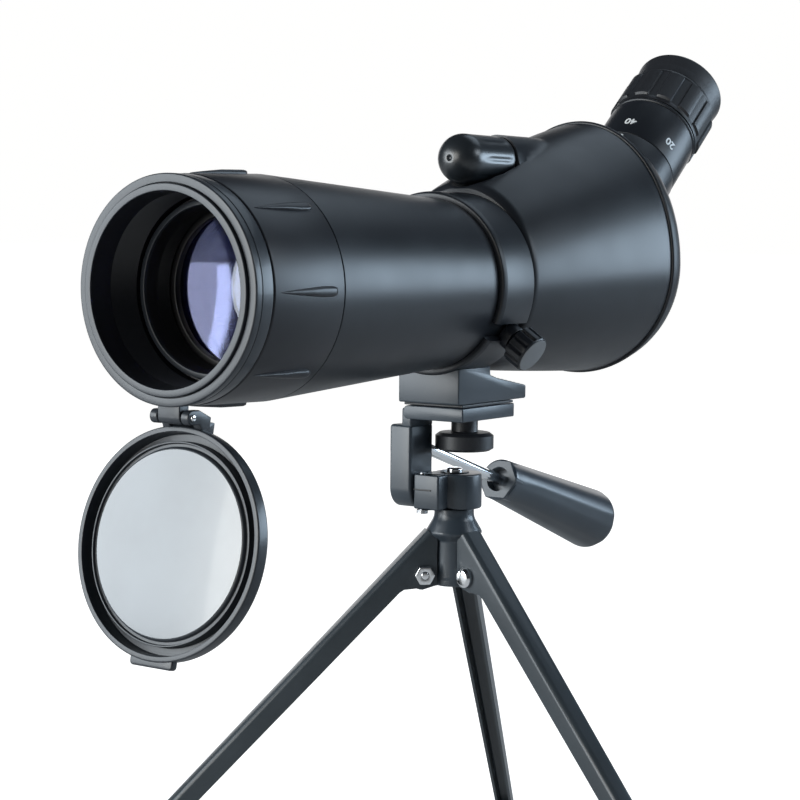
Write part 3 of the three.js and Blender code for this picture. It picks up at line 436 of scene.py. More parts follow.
tongue_outline = knuckle(math.pi, 2 * math.pi) + [(PIN_Y + KNUCKLE_R, -35.6), (PIN_Y - KNUCKLE_R, -35.6)]
piece("clip_tongue", slab(tongue_outline, -4.6, 4.6, edge=0.35), "scope", TRIM)
pin_profile = rounded([(0, -8.9), (1.1, -8.9, 0.4), (1.1, 8.9, 0.4), (0, 8.9)], closed=False)
piece(
    "hinge_pin",
    lathe(pin_profile, 32, "X", closed=False),
    "scope",
    CHROME,
    ["cap_hinge_pin"],
    shift(0, PIN_Y, PIN_Z),
)

# ---------- flip cap ----------

liner = rounded([(0, 1.1), (30.4, 1.1, 0.1), (30.4, 1.4, 0.1), (0, 1.4)], closed=False)
piece("cap_liner", lathe(liner, 128, closed=False), "cap", LINER, where=CAP)
cap_profile = rounded(
    [
        (0, 1.25, 0),
        (30.9, 1.25, 0.9),
        (31.3, 2.6, 0.2),
        (32.35, 2.6, 0.2),
        (32.45, 1.5, 0.15),
        (33.0, 1.5, 0.2),
        (33.1, 5.4, 0.3),
        (35.9, 5.4, 0.4),
        (36.0, 0, 0.25),
        (37.9, 0, 0.55),
        (37.9, 4.6, 1.2),
        (35.6, 7.2, 1.2),
        (33.3, 7.8, 0.8),
        (29.9, 7.8, 0.4),
        (29.2, 3.4, 0.5),
        (0, 3.4, 0),
    ],
    closed=False,
)
piece(
    "flip_cap",
    lathe(cap_profile, 192, closed=False),
    "cap",
    TRIM,
    ["lens_cap"],
    CAP,
)
ear_outline = knuckle(math.pi / 2, 1.5 * math.pi) + [(7.4, PIN_Z - KNUCKLE_R), (7.9, -43.6), (8.2, -44.6)]
ear_outline += [(12.4, -44.6), (13.2, -40.7), (7.4, PIN_Z + KNUCKLE_R)]
for side, reach in (("right", (5, 8.2)), ("left", (-8.2, -5))):
    piece(f"cap_ear_{side}", slab(ear_outline, *reach, edge=0.4), "cap", TRIM)
root_outline = rounded([(0.8, 36.1), (3.4, 40.2), (7.2, 40.2), (7.2, 36.1)], 0.4)
piece("cap_ear_root", slab(root_outline, -8.1, 8.1, edge=0.3), "cap", TRIM, where=CAP)
tab_outline = rounded([(-9, -35.5), (-9, -39.6), (9, -39.6), (9, -35.5)], 1.2)
piece(
    "cap_tab",
    slab([(x, z - 0.035 * (81 - x * x) ** 0.5) for x, z in tab_outline], 0.5, 3.3, "XZ", edge=0.6),
    "cap",
    TRIM,
    where=CAP,
)

# ---------- objective ----------

cell_profile = rounded(
    [
        (31.1, 20.9, 0.5),
        (31.1, 50.4, 0.2),
        (25.5, 50.4, 0.2),
        (25.5, 47.8, 0.2),
        (27.5, 47.8, 0.2),
        (27.4, 33.2, 0),
    ]
)
cell_bore = ridges(27.2, 32.8, 25.6, 6, 0.5) + [(27.2, 25.0), (27.2, 22.2), (27.7, 21.2), (28.4, 20.9)]
piece("lens_cell", lathe(cell_profile + cell_bore, 160), "scope", DARK, ["objective_cell"])
cell_rim = rounded([(27.5, 20.5, 0.3), (29.4, 20.5, 0.4), (29.4, 23.0, 0.1), (27.3, 24.8, 0.3)])
piece("cell_rim", lathe(cell_rim, 160), "scope", TRIM)
lens_face = [(r, 34.4 + 2.4 * (r / 27.3) ** 2) for r in np.linspace(0, 25.4, 20)]
piece(
    "front_lens",
    lathe(lens_face + [(27.2, 36.9), (27.2, 38.2), (0, 36.2)], 160, closed=False),
    "scope",
    GLASS,
    ["crown_lens"],
)
bowl = [(r, 43.0 - 4.1 * (r / 27.2) ** 2) for r in np.linspace(0, 27.2, 20)]
piece(
    "rear_lens",
    lathe(bowl + [(27.2, 47.3), (15, 47.0), (0, 46.8)], 160, closed=False),
    "scope",
    COATING,
    ["flint_lens"],
)
keeper = rounded([(24.9, 33.2, 0.3), (27.3, 33.2, 0.1), (27.3, 36.5, 0.1), (25.0, 35.9, 0.1)])
piece("lens_keeper", lathe(keeper, 160), "scope", DARK, ["retaining_ring"])

# ---------- barrel ----------

barrel_profile = rounded(
    [
        (31.4, 44.6, 0),
        (38.0, 44.6, 0.35),
        (32.3, 143.5, 60),
        (32.3, 147.0, 0.3),
        (31.6, 147.0, 0.1),
        (31.6, 168.6, 0.2),
        (28.6, 168.6, 0.2),
        (28.6, 143.5, 4),
        (35.0, 52.4, 0.2),
        (31.4, 52.4, 0.2),
    ],
    steps=8,
)
piece("barrel", lathe(barrel_profile, 160), "scope", SHELL, ["main_barrel"])

# ---------- prism housing, gasket and rear cover ----------

FRONT_SECTION, REAR_SECTION = (33.4, 38.0, -33.4), (45.4, 65.6, -38.3)
KNOB_Z, GROOVE_R, WIDEST_Z = 47.6, 10.9, 6.5
HOUSING_FROM, HOUSING_TO, FAIRING_FROM = 168.9, 259.2, 195.1


def housing_section(y):
    """Half width, top, bottom and the height of the widest place at station y."""
    t = (y - HOUSING_FROM) / (HOUSING_TO - HOUSING_FROM)
    t = 1.35 * t - 0.35 * t * t
    half, top, bottom = (a + (b - a) * t for a, b in zip(FRONT_SECTION, REAR_SECTION))
    return half, top, bottom, 1 + (WIDEST_Z - 1) * t


def smooth_max(a, b, soft):
    h = max(soft - abs(a - b), 0) / soft
    return max(a, b) + h * h * soft / 4


def housing_point(y, angle, proud=0.0):
    """A point on the housing's oval section, which is widest below its middle."""
    half, top, bottom, widest = housing_section(y)
    rise = top - widest if math.sin(angle) > 0 else widest - bottom
    return (half + proud) * math.cos(angle), widest + (rise + proud) * math.sin(angle)


def housing_ring(y, count=192, proud=0.0):
    ring = []
    for i in range(count):
        x, z = housing_point(y, 2 * math.pi * i / count, proud)
        if z > 20 and y < 232:
            z = shaped_top(x, y, z)
        ring.append((x, y, z))
    return ring


def shaped_top(x, y, z):
    """The height of the housing's top at x: down in the groove before the fairing, up over it."""
    if y <= FAIRING_FROM:
        if abs(x) >= GROOVE_R:
            return z
        floor = KNOB_Z - math.sqrt(GROOVE_R**2 - x * x)
        return -smooth_max(-z, -floor, 1.2)
    fade = max(0, (y - 219) / 13)
    reach = 10.3 * math.sqrt(max(0, 1 - fade * fade))
    if abs(x) >= reach:
        return z
    return smooth_max(z, KNOB_Z + math.sqrt(reach**2 - x * x), 1.6)


stations = [HOUSING_FROM, 169.2, 169.8, 170.6, *np.linspace(171.6, 194.8, 20)]
stations += [FAIRING_FROM - 0.05, FAIRING_FROM + 0.05, *np.linspace(195.7, 258.3, 50), 258.9]
rings = []
for k, y in enumerate(stations):
    inset = -0.35 if k == len(stations) - 1 else -1.8 * max(0, 1 - (y - HOUSING_FROM) / 2.7) ** 2
    rings.append(housing_ring(y, proud=inset))
piece("housing", skin(rings), "scope", SHELL, ["prism_housing"], sharp=40)

bead = [
    (0.0, 258.95),
    (0.55, 259.05),
    (0.85, 259.5),
    (0.9, 260.0),
    (0.85, 260.5),
    (0.55, 260.95),
    (0.0, 261.05),
    (-2.4, 261.05),
    (-2.4, 258.95),
]
bead_rings = [[(p[0], y, p[2]) for p in housing_ring(HOUSING_TO, proud=rise)] for rise, y in bead]
piece("seam_bead", skin(bead_rings, closed=True), "scope", SHELL, ["housing_gasket"], sharp=50)

COVER_Y, COVER_DEPTH, FULLNESS = 261.1, 26.0, 2.3
HALF_X, ABOVE, BELOW = 45.4, 65.6 - WIDEST_Z, 38.3 + WIDEST_Z


def cover_surface():
    rings = []
    for t in [*np.linspace(0, 0.9, 22), 0.93, 0.955, 0.975, 0.988, 0.996, 0.9995]:
        scale = (1 - t**FULLNESS) ** (1 / FULLNESS)
        ring = []
        for i in range(192):
            angle = 2 * math.pi * i / 192
            rise = ABOVE if math.sin(angle) > 0 else BELOW
            point = (HALF_X * scale * math.cos(angle), COVER_Y + t * COVER_DEPTH)
            ring.append((*point, WIDEST_Z + rise * scale * math.sin(angle)))
        rings.append(ring)
    return skin(rings)


piece("cover", cover_surface(), "scope", SHELL, ["rear_cover"], sharp=40)


def cover_depth(point):
    """Under 0 inside the cover, over 0 outside."""
    t = (point[1] - COVER_Y) / COVER_DEPTH
    rise = point[2] - WIDEST_Z
    oval = math.hypot(point[0] / HALF_X, rise / (ABOVE if rise > 0 else BELOW))
    return max(t, 0) ** FULLNESS + oval**FULLNESS - 1


def reach_cover(x, z):
    """How far down the eyepiece's axis the line through (x, z) meets the cover."""
    outside, inside = 6.0, -62.0
    previous = outside
    for s in np.linspace(outside, inside, 160):
        if cover_depth(EYEPIECE @ Vector((x, s, z))) < 0:
            inside = s
            break
        previous = s
    outside = previous
    for _ in range(24):
        middle = (outside + inside) / 2
        if cover_depth(EYEPIECE @ Vector((x, middle, z))) < 0:
            inside = middle
        else:
            outside = middle
    return inside


BOSS_R = 20.3


def boss_surface(flare=7.5, count=128):
    """The eyepiece's boss, which flows out of the cover in a fillet."""
    rings = []
    for t in np.linspace(0, math.pi / 2, 12):
        r = BOSS_R + flare * (1 - math.sin(t))
        rise = flare * (1 - math.cos(t)) - 0.06
        ring = []
        for i in range(count):
            angle = 2 * math.pi * i / count
            x, z = r * math.cos(angle), r * math.sin(angle)
            ring.append((x, min(reach_cover(x, z) + rise, -1.2), z))
        rings.append(ring)
    for r, s in ((BOSS_R, -0.9), (BOSS_R - 0.1, -0.5), (BOSS_R - 0.4, -0.3), (16.7, -0.3), (16.7, -14)):
        rings.append([(r * math.cos(a), s, r * math.sin(a)) for a in np.arange(count) * 2 * math.pi / count])
    return skin(rings, caps=False)


piece("eyepiece_boss", boss_surface(), "scope", SHELL, where=EYEPIECE, sharp=40)

# ---------- focus knob ----------

KNOB_R, KNOB_TIP = 9.65, 161.5


def knob_radius(angle, r, s):
    """Broad shallow flutes behind the round nose."""
    depth = 0.42 * max(0, min(1, (s - 172) / 6)) * max(0, min(1, (194 - s) / 4))
    return r - depth * max(0, math.cos(8 * angle)) ** 3


quarter = np.linspace(0, math.pi / 2, 22)
nose = [(KNOB_R * math.sin(a), KNOB_TIP + KNOB_R * (1 - math.cos(a))) for a in quarter]
dimple = [(0, 162.35), (0.35, 162.3), (0.7, 162.05), (1.1, 161.72)]
nose = dimple + [p for p in nose if p[0] > 1.3]
knob_profile = nose + [(KNOB_R, s) for s in np.linspace(172, 193.2, 16)]
knob_profile += [(9.5, 194.4), (9.0, 194.8), (0, 194.8)]
piece(
    "focus_grip",
    lathe(knob_profile, 128, closed=False, radius=knob_radius),
    "focus",
    KNOB,
    ["focus_knob"],
    shift(0, 0, KNOB_Z),
    sharp=45,
)

# ---------- zoom eyepiece ----------

sleeve_profile = rounded(
    [
        (16.5, 0.1, 0.2),
        (20.05, 0.1, 0.45),
        (20.05, 23.2, 0.4),
        (19.75, 23.5, 0.1),
        (19.75, 24.0, 0.1),
        (20.3, 24.3, 0.3),
        (20.3, 25.2, 0.3),
        (18, 25.2, 0.1),
        (18, 46.8, 0.1),
        (16.5, 46.8, 0.1),
    ]
)
piece(
    "scale_sleeve",
    lathe(sleeve_profile, 144),
    "zoom_ring",
    SHELL,
    ["zoom_sleeve"],
    EYEPIECE,
)


def grip_radius(angle, r, s):
    """Twelve flat blocks with grooves between them."""
    if r < 20 or not 27.6 < s < 45.6:
        return r
    phase = (angle * 12 / (2 * math.pi)) % 1
    off = min(phase, 1 - phase) * 2
    block = max(0, min(1, (0.66 - off) / 0.07))
    end = max(0, min(1, (s - 27.6) / 0.7)) * max(0, min(1, (45.6 - s) / 0.7))
    flat = 0.45 * (1 - (off / 0.66) ** 2) if off < 0.66 else 0
    return r - 0.1 + (0.75 + flat) * block * end


grip_profile = rounded([(18.3, 25.9, 0.1), (20.3, 25.9, 0.3)], closed=False) + [
    (20.3, s) for s in (26.4, 27.5, 27.7, 28.0, 28.3, 30, 33, 36, 39, 42, 44.9, 45.2, 45.5, 45.7, 46.6)
]
grip_profile += [(20.15, 47.0), (19.8, 47.2), (18.3, 47.2)]
piece(
    "grip_ring",
    lathe(grip_profile, 288, radius=grip_radius),
    "zoom_ring",
    RUBBER,
    ["zoom_grip"],
    EYEPIECE,
    sharp=38,
)
cup_profile = rounded(
    [
        (16.6, 47.6, 0.2),
        (19.6, 47.6, 0.5),
        (19.7, 52, 4),
        (20.3, 58.2, 1.8),
        (18.6, 60.0, 1.2),
        (15.2, 58.6, 2.0),
        (13.8, 51.6, 0.5),
        (13.8, 49.6, 0.2),
        (16.6, 49.6, 0.1),
    ],
    steps=6,
)
piece("eye_cup", lathe(cup_profile, 144), "scope", RUBBER, ["eyecup"], EYEPIECE)


def numeral(text, azimuth, station, size=5.2):
    """Digits wrapped round the sleeve, their tops towards the body."""
    curve = bpy.data.curves.new("numeral", "FONT")
    curve.body = text
    curve.size = size
    curve.align_x, curve.align_y = "CENTER", "CENTER"
    curve.extrude = 0.04
    curve.offset = 0.12
    curve.resolution_u = 6
    maker = bpy.data.objects.new("numeral", curve)
    bpy.context.scene.collection.objects.link(maker)
    bpy.context.view_layer.update()
    flat = bpy.data.meshes.new_from_object(maker)
    bpy.data.objects.remove(maker)
    radius = 20.09
    verts = []
    for v in flat.vertices:
        angle = math.radians(azimuth) + v.co.x / radius
        reach = radius + v.co.z
        verts.append((reach * math.cos(angle), station - v.co.y, reach * math.sin(angle)))
    return verts, [tuple(p.vertices) for p in flat.polygons]


numerals = together(*[numeral(t, a, 8.3) for t, a in (("20", 22), ("40", 81), ("60", 140))])
piece("scale_numbers", numerals, "zoom_ring", INK, where=EYEPIECE)
dot = rounded([(0, 0), (0.9, 0, 0.1), (0.9, 0.35, 0.2), (0, 0.35)], closed=False)
index_dot = lathe(dot, 24, "Z", closed=False)
piece(
    "scale_index",
    moved(index_dot, turn(81 - 90, "Y").inverted() @ shift(0, -2.4, 20.15)),
    "scope",
    INK,
    where=EYEPIECE,
)

# ---------- mounting collar ----------

SPLIT_FROM, SPLIT_TO = -36.5, -24.5


def collar_band():
    """The ring, open from SPLIT_FROM to SPLIT_TO, with rounded ends."""
    outline = rounded(
        [(32.0, 147.3, 0.2), (34.2, 147.3, 0.8), (34.7, 149.5, 1), (34.7, 168.3, 0.3), (32.0, 168.3, 0.2)]
    )
    rings = []
    for a in np.linspace(SPLIT_TO, 360 + SPLIT_FROM, 160):
        angle = math.radians(a)
        rings.append([(r * math.cos(angle), y, r * math.sin(angle)) for r, y in outline])
    return skin(rings)


piece("collar_ring", collar_band(), "bracket", SHELL, ["mounting_collar"], sharp=40)


def collar_foot():
    """The foot block, whose tail runs back under the housing."""
    side = rounded(
        [
            (149.3, -45.5, 0.7),
            (197.7, -45.5, 0.9),
            (197.7, -40.3, 0.9),
            (176.5, -36.4, 4.5),
            (171.5, -35.0, 1.0),
            (171.3, -31.5, 0.3),
            (149.3, -31.5, 0.3),
        ]
    )
    return slab(side, -13.8, 13.8, edge=0.5)


piece("collar_foot", collar_foot(), "bracket", HEAD, sharp=40)
lock_boss = rounded([(0, 32.6), (5.0, 32.6, 0.1), (5.0, 37.0, 0.5), (0, 37.0)], closed=False)
piece("lock_boss", lathe(lock_boss, 64, "X", closed=False), "bracket", SHELL, where=LOCK)


def flute(angle, r, s):
    if not 38.6 < s < 45.7 or r < 5:
        return r
    phase = (angle * 12 / (2 * math.pi)) % 1
    return r - 0.75 * max(0, math.cos(math.pi * 2 * phase)) ** 2


knob = rounded([(0, 37.4), (4.8, 37.4, 0.3), (7.5, 38.9, 0.5)], closed=False)
knob += [(7.5, s) for s in (39.5, 41, 43, 44.5, 45.3)] + [(7.4, 45.9), (7.1, 46.3), (6.9, 46.4), (0, 46.4)]
piece(
    "lock_knob",
    lathe(knob, 144, "X", closed=False, radius=flute),
    "collar_lock",
    SHELL,
    ["collar_lock_knob"],
    LOCK,
)
face = rounded([(0, 46.2), (6.8, 46.2, 0.1), (6.8, 46.6, 0.15), (0, 46.6)], closed=False)
piece("lock_face", lathe(face, 64, "X", closed=False), "collar_lock", END, where=LOCK)

# ---------- tilt bracket ----------

half_turn = np.linspace(math.pi, 2 * math.pi, 25)
arm = [(159.7 + 7.7 * math.cos(a), -79.3 + 7.7 * math.sin(a)) for a in half_turn]
arm_top = [(167.4, -70), (167.4, -54.6, 1.4), (152.0, -54.6, 1.4), (152.0, -70)]
arm += rounded(arm_top, closed=False)[1:-1]
arm = slab(arm, -19.7, -9.8, edge=1.0, steps=4)
piece("bracket_arm", arm, "bracket", HEAD, ["tilt_bracket"])
neck = brick((-14.2, -9.85), (152.2, 167.2), (-55.5, -48), 0.8, 0.6)
piece("bracket_neck", neck, "bracket", HEAD)
plate = rounded([(-13.6, -52.2, 2.2), (13.9, -52.2, 0.5), (13.9, -46.9, 0.5), (-13.6, -46.9, 2.2)])
piece("bracket_plate", slab(plate, 152, 189, "XZ", edge=0.5), "bracket", HEAD, sharp=40)
piece(
    "bracket_cushion",
    brick((-13.2, 13.5), (152.4, 188.6), (-46.7, -45.7), 0.3, 0.15),
    "bracket",
    RUBBER,
    ["bracket_pad"],
)

# ---------- thumbwheel ----------

wheel = rounded([(0, -65.3), (9.8, -65.3, 0.8), (11.4, -64.3, 0.6)], closed=False)
wheel += [(11.4, s) for s in (-63.9, -63, -61.7, -60.4, -59.5)]
stem = [(11.4, -59.3), (9.8, -58.1, 0.8), (5.2, -58.1, 0.6), (5.2, -52.7, 0.2), (0, -52.7)]
wheel += rounded(stem, closed=False)
piece(
    "thumbwheel",
    lathe(wheel, 144, "Z", closed=False),
    "thumbwheel",
    RUBBER,
    ["camera_thumbwheel"],
    shift(0, 174.8, 0),
)

# ---------- pan head ----------


def head_shape():
    """A round base with a flat side for the arm and a block that takes the tilt pin."""
    outline = []
    for a in np.linspace(-33.5, 213.5, 73):
        outline.append((10.6 * math.cos(math.radians(a)), 168.15 + 10.6 * math.sin(math.radians(a))))
    outline = [p for p in outline if p[0] > -9.4]
    return outline + rounded([(-9.4, 163), (-9.4, 153.6, 0.8), (2.2, 153.6, 0.8), (2.2, 160)], closed=False)


piece(
    "head_block",
    slab(head_shape(), -86.9, -73.4, "XY", edge=0.7),
    "pan_head",
    HEAD,
    ["head_base"],
    sharp=40,
)
# Painted shade: the block's slit is not cut. A thin bar of blackened metal stands just proud of the front
# face and darkens the line where the slit's shaded gap would be.
gap_shade_bar = brick((-9.3, -1.2), (153.45, 154.4), (-79.65, -79.0), 0.1, 0.05)
piece("head_gap_shade", gap_shade_bar, "pan_head", DARK)

# ---------- handle ----------

rod_profile = rounded([(0, -67.9), (2.4, -67.9, 0.3), (2.4, 24, 0.5), (0, 24)], closed=False)
piece(
    "handle_bar",
    lathe(rod_profile, 48, closed=False),
    "handle",
    CHROME,
    ["handle_rod"],
    HANDLE,
)


def grip_hand(angle, r, s):
    """Faint long flats down the grip."""
    if s < 8 or r < 7:
        return r
    return r - 0.18 * max(0, math.cos(6 * angle)) ** 2 * min(1, (s - 8) / 10)


hand = [(5.0, 5.0), (5.0, 0.9), (5.4, 0.4), (7.9, 0.4), (8.6, 0.9), (8.75, 1.8)]
hand += [(8.75 + (13.2 - 8.75) * t, 2.2 + t * 76.8) for t in np.linspace(0, 1, 16)]
hand += [(13.2, 80.0), (12.9, 81.0), (11.6, 82.6), (10.9, 83.0), (0, 83.0)]
piece(
    "hand_grip",
    lathe([(0, 5.0)] + hand, 128, closed=False, radius=grip_hand),
    "handle",
    HEAD,
    ["handle_grip"],
    HANDLE,
)


def hex_collar():
    """The six-sided end of the grip, open to the rod on one side."""
    rings = []
    outer, inner = 9.3, 5.2
    for a in np.linspace(150, 450, 61):
        angle = math.radians(a)
        six = outer * math.cos(math.radians(30)) / math.cos(math.radians((a % 60) - 30))
        six = min(six, 9.1)
        rings.append(
            [
                (inner * math.cos(angle), 0.2, inner * math.sin(angle)),
                (inner * math.cos(angle), -0.2, inner * math.sin(angle)),
                ((six - 0.4) * math.cos(angle), -0.2, (six - 0.4) * math.sin(angle)),
                (six * math.cos(angle), 0.2, six * math.sin(angle)),
                (six * math.cos(angle), 5.6, six * math.sin(angle)),
                ((six - 0.8) * math.cos(angle), 6.4, (six - 0.8) * math.sin(angle)),
                (inner * math.cos(angle), 6.4, inner * math.sin(angle)),
            ]
        )
    return skin(rings)


piece("hand_socket", hex_collar(), "handle", HEAD, where=HANDLE)

# ---------- tripod hub and pan screw ----------

hub_profile = rounded(
    [
        (0, -117.2, 0),
        (7.7, -117.2, 0.7),
        (7.7, -114.8, 0.5),
        (7.9, -113.6, 0.4),
        (7.9, -99.5, 1.5),
        (11.2, -96.6, 1.2),
        (7.7, -90.5, 7),
        (7.7, -87.2, 0.4),
        (0, -87.2, 0),
    ],
    closed=False,
    steps=6,
)
piece("hub", lathe(hub_profile, 96, "Z", closed=False), "tripod", HEAD, ["tripod_hub"], HUB)


def lug():
    """The web that carries one leg's bolt."""
    half_turn = np.linspace(-math.pi / 2, math.pi / 2, 17)
    outline = [(LEG_R + 6.3 * math.cos(a), LEG_Z + 6.3 * math.sin(a)) for a in half_turn]
    outline += [(5.0, -104.0), (3.0, -104), (3.0, -116.4), (8, -117.4)]
    return slab(outline, -3.2, 3.2, edge=0.5)


for i, azimuth in enumerate(LEG_AZIMUTHS, 1):
    piece(f"hub_lug_{i}", lug(), "tripod", HEAD, where=HUB @ turn(azimuth - 90, "Z"))

screw_head = [(0, -73.1), (3.1, -73.1, 0.1), (3.1, -71.9, 0.5), (2.0, -71.4, 0.5), (0, -71.3)]
screw_head = lathe(rounded(screw_head, closed=False), 48, "Z", closed=False)
piece("pan_screw_head", screw_head, "tripod", CHROME, ["pan_screw"], HUB)
washer = rounded([(2.6, -73.35, 0.1), (5.6, -73.35, 0.1), (5.6, -72.95, 0.15), (2.6, -72.95, 0.1)])
piece("pan_washer", lathe(washer, 48, "Z"), "pan_head", DARK, where=HUB)

# ---------- legs ----------


def leg_width(u):
    return (9.8 + (7.3 - 9.8) * (u + 13.5) / 225.5) / 2


def leg_section(u, front):
    """A channel bent from sheet: two sides that reach forward and a back, all 1.2 thick."""
    w, back, wall, bend = leg_width(u), 10.7, 1.2, 2.2
    outer = [(-w, front)]
    quarter = np.linspace(0, math.pi / 2, 7)
    outer += [(-w + bend - bend * math.cos(a), back - bend + bend * math.sin(a)) for a in quarter]
    outer += [(w - bend + bend * math.sin(a), back - bend + bend * math.cos(a)) for a in quarter]
    outer += [(w, front)]
    inner_w, inner_back, small = w - wall, back - wall, bend - wall
    inner = [(inner_w, front)]
    inner += [
        (inner_w - small + small * math.cos(a), inner_back - small + small * math.sin(a))
        for a in np.linspace(0, math.pi / 2, 5)
    ]
    inner += [
        (-inner_w + small - small * math.sin(a), inner_back - small + small * math.cos(a))
        for a in np.linspace(0, math.pi / 2, 5)
    ]
    inner += [(-inner_w, front)]
    return [(x, y, -u) for x, y in outer + inner]


def leg_shape():
    """Stations down the leg, with how far forward its sides reach at each."""
    sides = [(-13.5, 6.0), (-12.8, 5.0), (-9, 1.6), (-4.5, -3.0), (-2.6, -4.3)]
    sides += [(0, -4.9), (2.4, -4.4), (4.2, -3.2), (9.5, 1.5), (11.5, 2.0)]
    sides += [(60, 2.5), (110, 3.1), (160, 3.6), (212, 4.2)]
    return skin([leg_section(u, front) for u, front in sides])


def tip_shape():
    """The rubber tip: a groove round it, and a rounded end."""
    top = [(203.2, -0.9), (203.7, -0.2), (204.7, 0), (209, 0), (209.5, -0.35), (210.3, -0.35), (210.8, 0)]
    end = [(213, 0), (215, 0), (217.2, 0), (218.8, -0.4), (219.6, -1.2), (220, -2.0)]
    return skin([tip_ring(u, grow) for u, grow in top + end])


def tip_ring(u, grow):
    half, front, back, corner = 5.7 + grow, 1.6 - grow, 12.7 + grow, 2.4
    outline = rounded([(-half, front), (half, front), (half, back), (-half, back)], corner, steps=5)
    return [(x, y, -u) for x, y in outline]


SPREAD = turn(43.8, "X")
FLOOR_IN_LEG = ORIGIN.z - LEG_Z


def on_floor(shape):
    """The tip pressed flat where it would go through the floor."""
    lift = SPREAD.inverted()
    made = []
    for v in shape[0]:
        p = SPREAD @ Vector(v)
        p.z = max(p.z, FLOOR_IN_LEG)
        made.append(tuple(lift @ p))
    return made, shape[1]


bolt_head = rounded([(0, 5.0), (3.8, 5.0, 0.1), (3.8, 6.2, 0.3), (2.9, 7.3, 0.7), (0, 7.55)], closed=False)
bolt_shank = rounded([(0, -7.9), (1.5, -7.9, 0.3), (1.5, 5.2, 0.1), (0, 5.2)], closed=False)


def hexagon(angle, r, s):
    if r < 2.5:
        return r
    side = math.radians(60)
    return min(r, r * math.cos(side / 2) / math.cos((angle % side) - side / 2) + 0.12)


nut_profile = rounded([(1.6, -5.2, 0.1), (3.9, -5.2, 0.35), (3.9, -7.6, 0.35), (1.6, -7.6, 0.1)])
LEG_BODIES = ("front_left_leg", "front_right_leg", "rear_leg")
for i, (azimuth, body) in enumerate(zip(LEG_AZIMUTHS, LEG_BODIES), 1):
    pivot = HUB @ turn(azimuth - 90, "Z") @ shift(0, LEG_R, LEG_Z)
    piece(f"leg_channel_{i}", leg_shape(), body, PAINT, [f"leg_{i}"], pivot @ SPREAD, sharp=40)
    piece(f"leg_foot_{i}", on_floor(tip_shape()), body, RUBBER, [f"leg_tip_{i}"], pivot @ SPREAD)
    bolt = together(lathe(bolt_head, 64, "X", closed=False), lathe(bolt_shank, 32, "X", closed=False))
    piece(f"bolt_{i}", bolt, "tripod", CHROME, [f"leg_bolt_{i}"], pivot)
    nut = lathe(nut_profile, 96, "X", radius=hexagon)
    piece(f"nut_{i}", nut, "tripod", CHROME, [f"leg_nut_{i}"], pivot)

# ---------- the CAD nodes that stay, in better finishes ----------

KEPT = {
    "barrel_baffle": DARK,
    "prism_chassis": DARK,
    "guide_rod_left": STEEL,
    "guide_rod_right": STEEL,
    "prism_carriage": DARK,
    "roof_prism": CLEAR,
    "focus_shaft": BRASS,
    "eyepiece_tube": DARK,
    "field_lens": CLEAR,
    "eye_lens": GLASS,
    "zoom_lens_cell": DARK,
    "zoom_lens": CLEAR,
    "foot_bush": BRASS,
    "collar_lock_screw": STEEL,
    "tilt_pin": STEEL,
    "camera_screw": STEEL,
    "clamp_screw": STEEL,
}
for node, material in KEPT.items():
    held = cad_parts[node].data
    held.materials.clear()
    held.materials.append(material)

# ---------- floor and light ----------


def stage_plane(name, size, material):
    half = size / 2
    mesh = bpy.data.meshes.new(name)
    corners = [(-half, -half, 0), (half, -half, 0), (half, half, 0), (-half, half, 0)]
    mesh.from_pydata(corners, [], [(0, 1, 2, 3)])
    mesh.materials.append(material)
    made = bpy.data.objects.new(name, mesh)
    bpy.context.scene.collection.objects.link(made)


def pale(name, colour, glow, low_glow):
    """A pale finish that glows by glow where the camera sees it and by low_glow elsewhere."""
    n = Nodes(name)
    n.tint(n.noise(3, 2), *shades(colour, 0.004))
    n.set(Roughness=0.8, Specular_IOR_Level=0.0, Emission_Color=(1, 1, 0.99, 1))
    ray, strength = n.add("ShaderNodeLightPath"), n.add("ShaderNodeMath")
    strength.operation = "MULTIPLY_ADD"
    strength.inputs[1].default_value, strength.inputs[2].default_value = glow - low_glow, low_glow
    n.link(ray.outputs["Is Camera Ray"], strength.inputs[0])
    n.link(strength.outputs[0], n.shader.inputs["Emission Strength"])
    return n.material


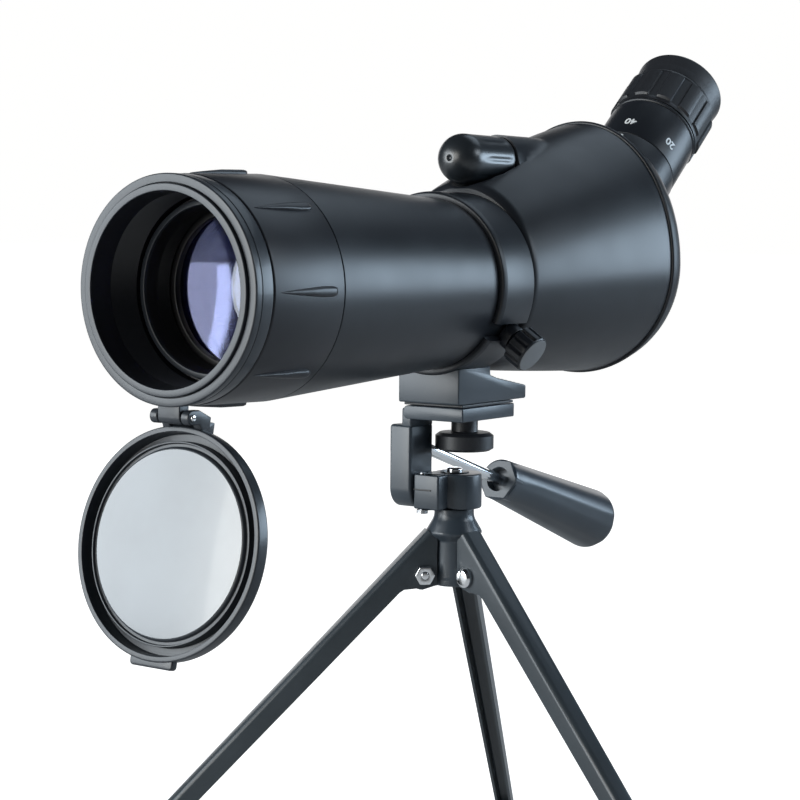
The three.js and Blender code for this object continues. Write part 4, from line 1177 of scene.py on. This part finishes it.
stage_plane("floor", 60, pale("floor_paint", (0.45, 0.45, 0.45), 1.0, 0.1))

world = bpy.data.worlds.new("studio")
world.use_nodes = True
bpy.context.scene.world = world
tree = world.node_tree
ground = tree.nodes["Background"]
ground.inputs["Color"].default_value = (0.035, 0.04, 0.047, 1)
seen = tree.nodes.new("ShaderNodeBackground")
seen.inputs["Color"].default_value = (1, 1, 0.995, 1)
pick = tree.nodes.new("ShaderNodeMixShader")
ray = tree.nodes.new("ShaderNodeLightPath")
tree.links.new(ray.outputs["Is Camera Ray"], pick.inputs["Fac"])
tree.links.new(ground.outputs["Background"], pick.inputs[1])
tree.links.new(seen.outputs["Background"], pick.inputs[2])
tree.links.new(pick.outputs["Shader"], tree.nodes["World Output"].inputs["Surface"])


def softbox(name, place, target, width, height, radiance, colour=(1, 1, 1)):
    data = bpy.data.lights.new(name, "AREA")
    data.shape = "RECTANGLE"
    data.size, data.size_y = width, height
    data.energy = radiance * math.pi * width * height
    data.color = colour
    made = bpy.data.objects.new(name, data)
    made.location = place
    made.rotation_mode = "QUATERNION"
    made.rotation_quaternion = (Vector(target) - Vector(place)).to_track_quat("-Z", "Y")
    made.visible_camera = False
    bpy.context.scene.collection.objects.link(made)


MIDDLE = ROW @ Vector((0, 128, -36))
softbox("left_front", (-0.83, -0.98, 0.47), MIDDLE, 0.95, 0.86, 6.3, (0.88, 0.95, 1))
softbox("front", (-0.27, -1.45, 0.38), MIDDLE, 1.0, 1.1, 4.8, (1, 0.99, 0.95))
softbox("right_rear", (0.8, 0.92, 0.42), MIDDLE, 0.8, 0.42, 8.6, (0.66, 0.83, 1))
softbox("right_high", (1.15, 0.42, 0.82), MIDDLE, 0.5, 0.34, 7, (0.8, 0.9, 1))
softbox("above_rear", (0.12, 0.95, 1.48), MIDDLE, 1.2, 0.7, 1.3, (0.72, 0.86, 1))
softbox("back_rim", (-1.0, 1.5, 0.48), MIDDLE, 2.0, 0.9, 1.2)
bpy.context.scene.view_settings.view_transform = "Standard"
